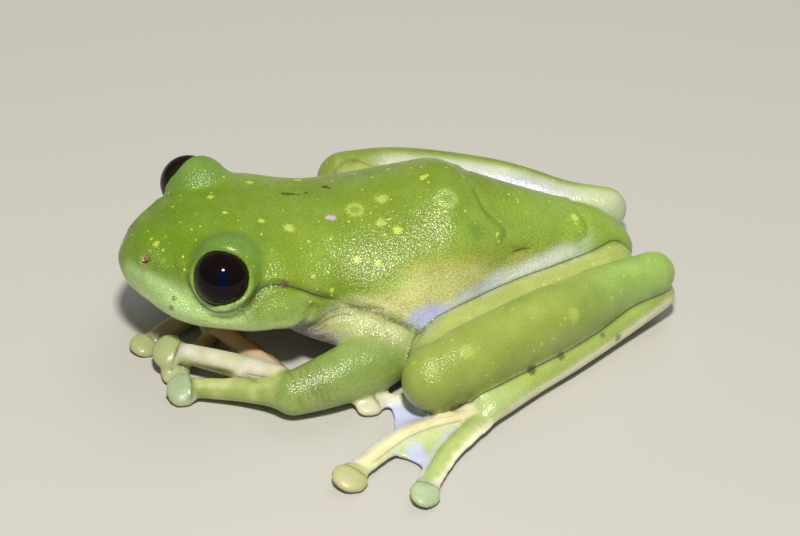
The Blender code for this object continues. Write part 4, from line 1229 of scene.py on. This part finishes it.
# %% Moist granular skin: small flecks
def flecks(base, scale, radius, code, amount):
    """Small scattered flecks: a point lies in one where it is nearer to its cell's middle than the
    cell's own random size, with a ragged edge."""
    spread = radius * scale
    off_middle = add("ShaderNodeTexVoronoi", {"Vector": frog, "Scale": scale, "Randomness": 1.0})
    chance = add("ShaderNodeSeparateColor", (off_middle.node.outputs["Color"],))
    size = add("ShaderNodeMapRange", (chance, 0.2, 1.0, -0.3 * spread, spread), **SMOOTH)
    ragged = add("ShaderNodeMapRange", (blotches, 0.3, 0.7, -0.35 * spread, 0.35 * spread), **SMOOTH)
    edge = add("ShaderNodeMath", (size, off_middle), **LESS)
    edge = add("ShaderNodeMath", (edge, ragged), **PLUS)
    cover = add("ShaderNodeMapRange", (edge, 0.0, 0.35 * spread, 0.0, amount), **SMOOTH)
    cover = add("ShaderNodeMath", (cover, attribute_nodes["spots"]), **TIMES)
    return add("ShaderNodeMix", {0: cover, 6: base, 7: rgba(code)}, 2, **COLOURS)


base = flecks(base, 1.0, 0.21, "#cfdc58", 0.85)
base = flecks(base, 0.52, 0.32, "#c6d452", 0.8)
base = flecks(base, 0.26, 0.42, "#b3c650", 0.5)
print("Nodes with the flecks:", len(tree.nodes))


# %% Moist granular skin: larger flecks, rings and spots
def mark(base, centre, radius, code, amount, hole=0.0):
    """A small patch of another colour: full where the distance from its centre is under 0.85 of the
    radius and gone beyond 1.4 of it. With a hole it is a ring."""
    gap = add("ShaderNodeVectorMath", (frog, centre), "Value", operation="DISTANCE")
    rough_by = (0.34 if hole else 0.5) * radius
    ragged = add("ShaderNodeMapRange", (fine, 0.3, 0.7, -rough_by, rough_by), **SMOOTH)
    gap = add("ShaderNodeMath", (gap, ragged), **PLUS)
    cover = add("ShaderNodeMapRange", (gap, radius * 1.4, radius * 0.85, 0.0, amount), **SMOOTH)
    if hole:
        outside = add("ShaderNodeMapRange", (gap, hole * 0.9, hole * 1.3, 0.25, 1.0), **SMOOTH)
        cover = add("ShaderNodeMath", (cover, outside), **TIMES)
    return add("ShaderNodeMix", {0: cover, 6: base, 7: rgba(code)}, 2, **COLOURS)


# The larger flecks and spots by colour and strength: each one's place and radius, and a ring's hole
MARKS = [
    ("#a9c46c", 0.7, [(41.6, -4.6, 19.3, 1.2, 0.8)]),
    ("#b6c95c", 0.75, [(30.0, -2.9, 17.9, 1.0, 0.6)]),
    ("#bccb62", 0.75, [(33.8, -1.8, 18.3, 0.65), (32.8, -5.5, 17.3, 0.55)]),
    ("#cddc60", 0.8, [(34.6, -7.0, 16.9, 0.5)]),
    ("#cddc60", 0.75, [(39.5, -0.5, 20.0, 0.4)]),
    ("#cddc60", 0.7, [
        (28.7, -9.7, 14.9, 0.4), (31.3, -10.4, 14.6, 0.4), (24.7, 6.5, 16.9, 0.45), (18.1, 5.3, 18.1, 0.4),
        (17.6, -3.8, 18.3, 0.35), (12.4, 2.7, 18.3, 0.35), (4.3, -2.9, 15.9, 0.35),
    ]),
    ("#c6d95a", 0.8, [(59.8, -2.2, 12.2, 0.5)]),
    ("#c0cf5e", 0.8, [(20.8, -5.2, 17.8, 0.6)]),
    ("#c3aecb", 0.95, [(26.45, -3.6, 17.6, 0.36), (26.85, -3.75, 17.5, 0.38)]),
    ("#5f8a2c", 0.45, [(44.9, -7.6, 15.9, 1.0)]),
    ("#1d300c", 0.85, [(21.8, 1.9, 18.1, 0.24), (22.3, 1.8, 18.1, 0.3)]),
    ("#1d300c", 0.8, [(22.9, 1.7, 18.1, 0.26)]),
    ("#1d300c", 0.75, [(23.6, 1.5, 18.0, 0.2), (24.7, 1.8, 17.9, 0.22)]),
    ("#1d300c", 0.9, [(27.5, 3.0, 17.7, 0.34)]),
    ("#1d300c", 0.85, [(27.9, 2.6, 17.8, 0.26)]),
    # The nostrils: a pink rim, and a painted shadow in the pit
    ("#a9805c", 0.55, [(2.75, -4.0, 14.3, 0.62), (2.75, 4.0, 14.3, 0.62)]),
    ("#2e150c", 0.95, [(2.75, -4.0, 14.3, 0.34), (2.75, 4.0, 14.3, 0.34)]),
    ("#6b5238", 0.85, [(18.7, -12.1, 14.2, 0.5)]),
    ("#6f6a3a", 0.75, [(5.3, -9.0, 11.7, 0.3)]),
    ("#7d6a40", 0.75, [(5.2, -9.2, 10.5, 0.34)]),
    ("#5e5a24", 0.85, [(48.6, -22.4, 4.2, 0.6)]),
    ("#5e5a24", 0.75, [(52.9, -19.7, 3.6, 0.5)]),
    ("#77803c", 0.8, [(62.3, -16.2, 2.6, 0.5)]),
    ("#6d7a34", 0.7, [(59.9, -16.8, 3.9, 0.36)]),
    ("#bccb5c", 0.6, [(55.1, -18.4, 8.9, 0.8)]),
    ("#b4c858", 0.55, [(39.4, -24.2, 9.6, 0.8)]),
]
surface = BVHTree.FromPolygons(points.tolist(), skin_faces)
for code, amount, places in MARKS:
    for x, y, z, radius, *hole in places:
        centre = surface.find_nearest(Vector((x, y, z)))[0]
        base = mark(base, tuple(centre), radius, code, amount, *hole)
print("Marks:", sum(len(places) for _, _, places in MARKS), "and nodes:", len(tree.nodes))

# %% Moist granular skin: the painted shade lines of the folds
# They are painted shade in creases, grooves and where parts touch. Each has a thin core in a broad soft
# shade.
line_off = add("ShaderNodeMath", (attribute_nodes["line_gap"],), operation="ABSOLUTE")
thin = add("ShaderNodeMapRange", (line_off, 0.18, 0.03, 0.0, 0.9), **SMOOTH)
thin = add("ShaderNodeMath", (thin, attribute_nodes["line_strength"]), **TIMES)
broad = add("ShaderNodeMapRange", (line_off, 0.7, 0.1, 0.0, 0.3), **SMOOTH)
broad = add("ShaderNodeMath", (broad, attribute_nodes["line_strength"]), **TIMES)
base = add("ShaderNodeMix", {0: broad, 6: base, 7: rgba("#7a7a2c")}, 2, blend_type="MULTIPLY", **COLOURS)
base = add("ShaderNodeMix", {0: thin, 6: base, 7: rgba("#3b3214")}, 2, **COLOURS)
print("Points with a dark line within reach:", int((line_strength > FAINTEST).sum()))

# %% Moist granular skin: grains, leather and the wet film
rounded = add("ShaderNodeMath", (grains, 2.0), operation="POWER")
rounded = add("ShaderNodeMath", (1.0, rounded), **LESS)
leather = add("ShaderNodeMath", (blotches, 0.9), **TIMES)
leather = add("ShaderNodeMath", (leather, attribute_nodes["grain"]), **TIMES)
fine_height = add("ShaderNodeMath", (fine, 0.12), **TIMES)


def piled(grain_share, under):
    """A height: the rounded grains times a share, plus the fine grain, plus what lies under them."""
    height = add("ShaderNodeMath", (rounded, grain_share), **TIMES)
    height = add("ShaderNodeMath", (height, fine_height), **PLUS)
    return add("ShaderNodeMath", (height, under), **PLUS)


height = piled(attribute_nodes["grain"], leather)
film_height = piled(attribute_nodes["sparkle"], add("ShaderNodeMath", (leather, 0.7), **TIMES))
wetness = add("ShaderNodeMapRange", (patches, 0.38, 0.58, 0.42, 0.9), **SMOOTH)
fill(shader, {
    "Base Color": base,
    "Normal": add("ShaderNodeBump", {"Strength": 0.45, "Distance": 0.0001, "Height": height}),
    "Roughness": add("ShaderNodeMapRange", (patches, 0.35, 0.65, 0.4, 0.5), **SMOOTH),
    "Specular IOR Level": 0.2,
    "Coat Normal": add("ShaderNodeBump", {"Strength": 1.0, "Distance": 0.00015, "Height": film_height}),
    "Coat Weight": add("ShaderNodeMath", (attribute_nodes["film"], wetness), **TIMES),
    "Coat Roughness": 0.24,
    "Coat IOR": 1.6,
    "Subsurface Weight": 0.08,
    "Subsurface Radius": (0.0009, 0.0007, 0.0003),
    "Subsurface Scale": 1.0,
})
print(material.name, "has", len(tree.nodes), "nodes and", len(tree.links), "links")

# %% [markdown]
# ## Wet dark eyes
# The real eye is a clear cornea, wet and smooth as glass, over a brown iris so dark that the upright
# pupil hardly shows. It could be built from two balls, a clear one round a coloured one. At this size
# one ball with a sharp highlight over a very dark colour looks the same, and has no inner faces that
# could show through the lids.

# %% Wet dark eyes
# The attribute look holds each point's direction from the ball's centre: forward, up and outward.
eye_material, tree, shader = new_material("wet_dark_eye")
look = add("ShaderNodeAttribute", out="Vector", attribute_name="look")
forward_node, up_node, deep_node = add("ShaderNodeSeparateXYZ", (look,)).node.outputs
# The pupil lies a little behind and above the middle: its place and its half width and height
PUPIL_BACK, PUPIL_UP, PUPIL_WIDTH, PUPIL_HEIGHT = 0.2, 0.2, 0.2, 0.36
wide = add("ShaderNodeMath", (forward_node, PUPIL_BACK), **PLUS)
wide = add("ShaderNodeMath", (wide, PUPIL_WIDTH), operation="DIVIDE")
tall = add("ShaderNodeMath", (up_node, PUPIL_UP), **LESS)
tall = add("ShaderNodeMath", (tall, PUPIL_HEIGHT), operation="DIVIDE")
squares = [add("ShaderNodeMath", (off, off), **TIMES) for off in (wide, tall)]
oval = add("ShaderNodeMath", (add("ShaderNodeMath", squares, **PLUS),), operation="SQRT")
mottled = add("ShaderNodeTexNoise", {"Vector": look, "Scale": 9.0, "Detail": 3.0, "Roughness": 0.5})
iris = add("ShaderNodeMix", {0: mottled, 6: rgba("#0a0505"), 7: rgba("#170b0a")}, 2, **COLOURS)
pupil = add("ShaderNodeMapRange", (oval, 1.4, 0.6, 0.0, 1.0), **SMOOTH)
base = add("ShaderNodeMix", {0: pupil, 6: iris, 7: rgba("#030b26")}, 2, **COLOURS)
rim = add("ShaderNodeMapRange", (deep_node, 0.42, 0.2, 0.0, 0.6), **SMOOTH)
base = add("ShaderNodeMix", {0: rim, 6: base, 7: rgba("#26240f")}, 2, **COLOURS)
fill(shader, {"Base Color": base, "Roughness": 0.08, "IOR": 1.37, "Specular IOR Level": 0.25})
print(eye_material.name, "has", len(tree.nodes), "nodes")

# %% [markdown]
# ## Eyes
# The real eyes are nearly perfect balls, so each is one closed ellipsoid with equal radii. A ready-made
# sphere would do as well, but the function that made the domes lays the rings round the eye's own axis.
# Each point keeps its direction from the centre, which tells the material where the pupil is. Each ball
# rides with the skin and stands for one packed eye.

# %% Eyeballs
for side, sign in (("left", -1), ("right", 1)):
    centre, axis, across, upward = eye_frame(sign)
    ball_points, ball_faces, _ = ellipsoid_shape(centre, axis, (EYEBALL_RADIUS,) * 3, sides=72, rings=48)
    mesh = new_mesh(f"eyeball_{side}", to_world(ball_points), ball_faces)
    offset = (ball_points - centre) / EYEBALL_RADIUS
    seen = np.column_stack([offset @ across * -sign, offset @ upward, offset @ axis])
    mesh.attributes.new("look", "FLOAT_VECTOR", "POINT").data.foreach_set("vector", seen.ravel())
    mesh.materials.append(eye_material)
    eyeball = new_object(f"eyeball_{side}", mesh)
    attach(eyeball, "root")
    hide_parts(f"eye_{side}")
    print(eyeball.name, "has", len(ball_points), "points")

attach(skin, "root")
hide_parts(*[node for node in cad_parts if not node.startswith("eye")])

# %% [markdown]
# ## Floor and light
# The frog rests on a plain pale floor that isn't part of it. A picture of the sky could light it, but
# two square lights and a dim even sky give the same broad highlight above and a soft shadow below, and
# each can be moved by itself.

# %% Floor
FLOOR = 4.0
corners = [(-FLOOR, -FLOOR, 0), (FLOOR, -FLOOR, 0), (FLOOR, FLOOR, 0), (-FLOOR, FLOOR, 0)]
floor = new_object("floor", new_mesh("floor", corners, [(0, 1, 2, 3)]))
material, tree, shader = new_material("pale_floor")
fill(shader, {"Base Color": rgba("#bfbdb6"), "Roughness": 0.7})
floor.data.materials.append(material)
print("The floor is", 2 * FLOOR, "m wide")

# %% Light
LIT_PLACE = (33, 0, 8)


def area_light(name, position, size, power, colour="#ffffff"):
    """A soft square light that points at the frog."""
    data = bpy.data.lights.new(name, "AREA")
    data.size = size
    data.energy = power
    data.color = tuple(srgb(colour))
    light = new_object(name, data)
    light.location = Vector(to_world(position))
    aim = Vector(to_world(LIT_PLACE)) - light.location
    light.rotation_euler = aim.to_track_quat("-Z", "Y").to_euler()
    return light


area_light("key", (-35, -237, 472), 0.06, 3.05, "#fffaf2")
area_light("back", (260, 320, 420), 0.35, 0.7).visible_glossy = False
world = bpy.data.worlds.new("studio")
world.use_nodes = True
background = world.node_tree.nodes["Background"]
background.inputs["Color"].default_value = (0.9, 0.95, 1.0, 1)
background.inputs["Strength"].default_value = 0.19
bpy.context.scene.world = world
bpy.context.scene.view_settings.view_transform = "Standard"
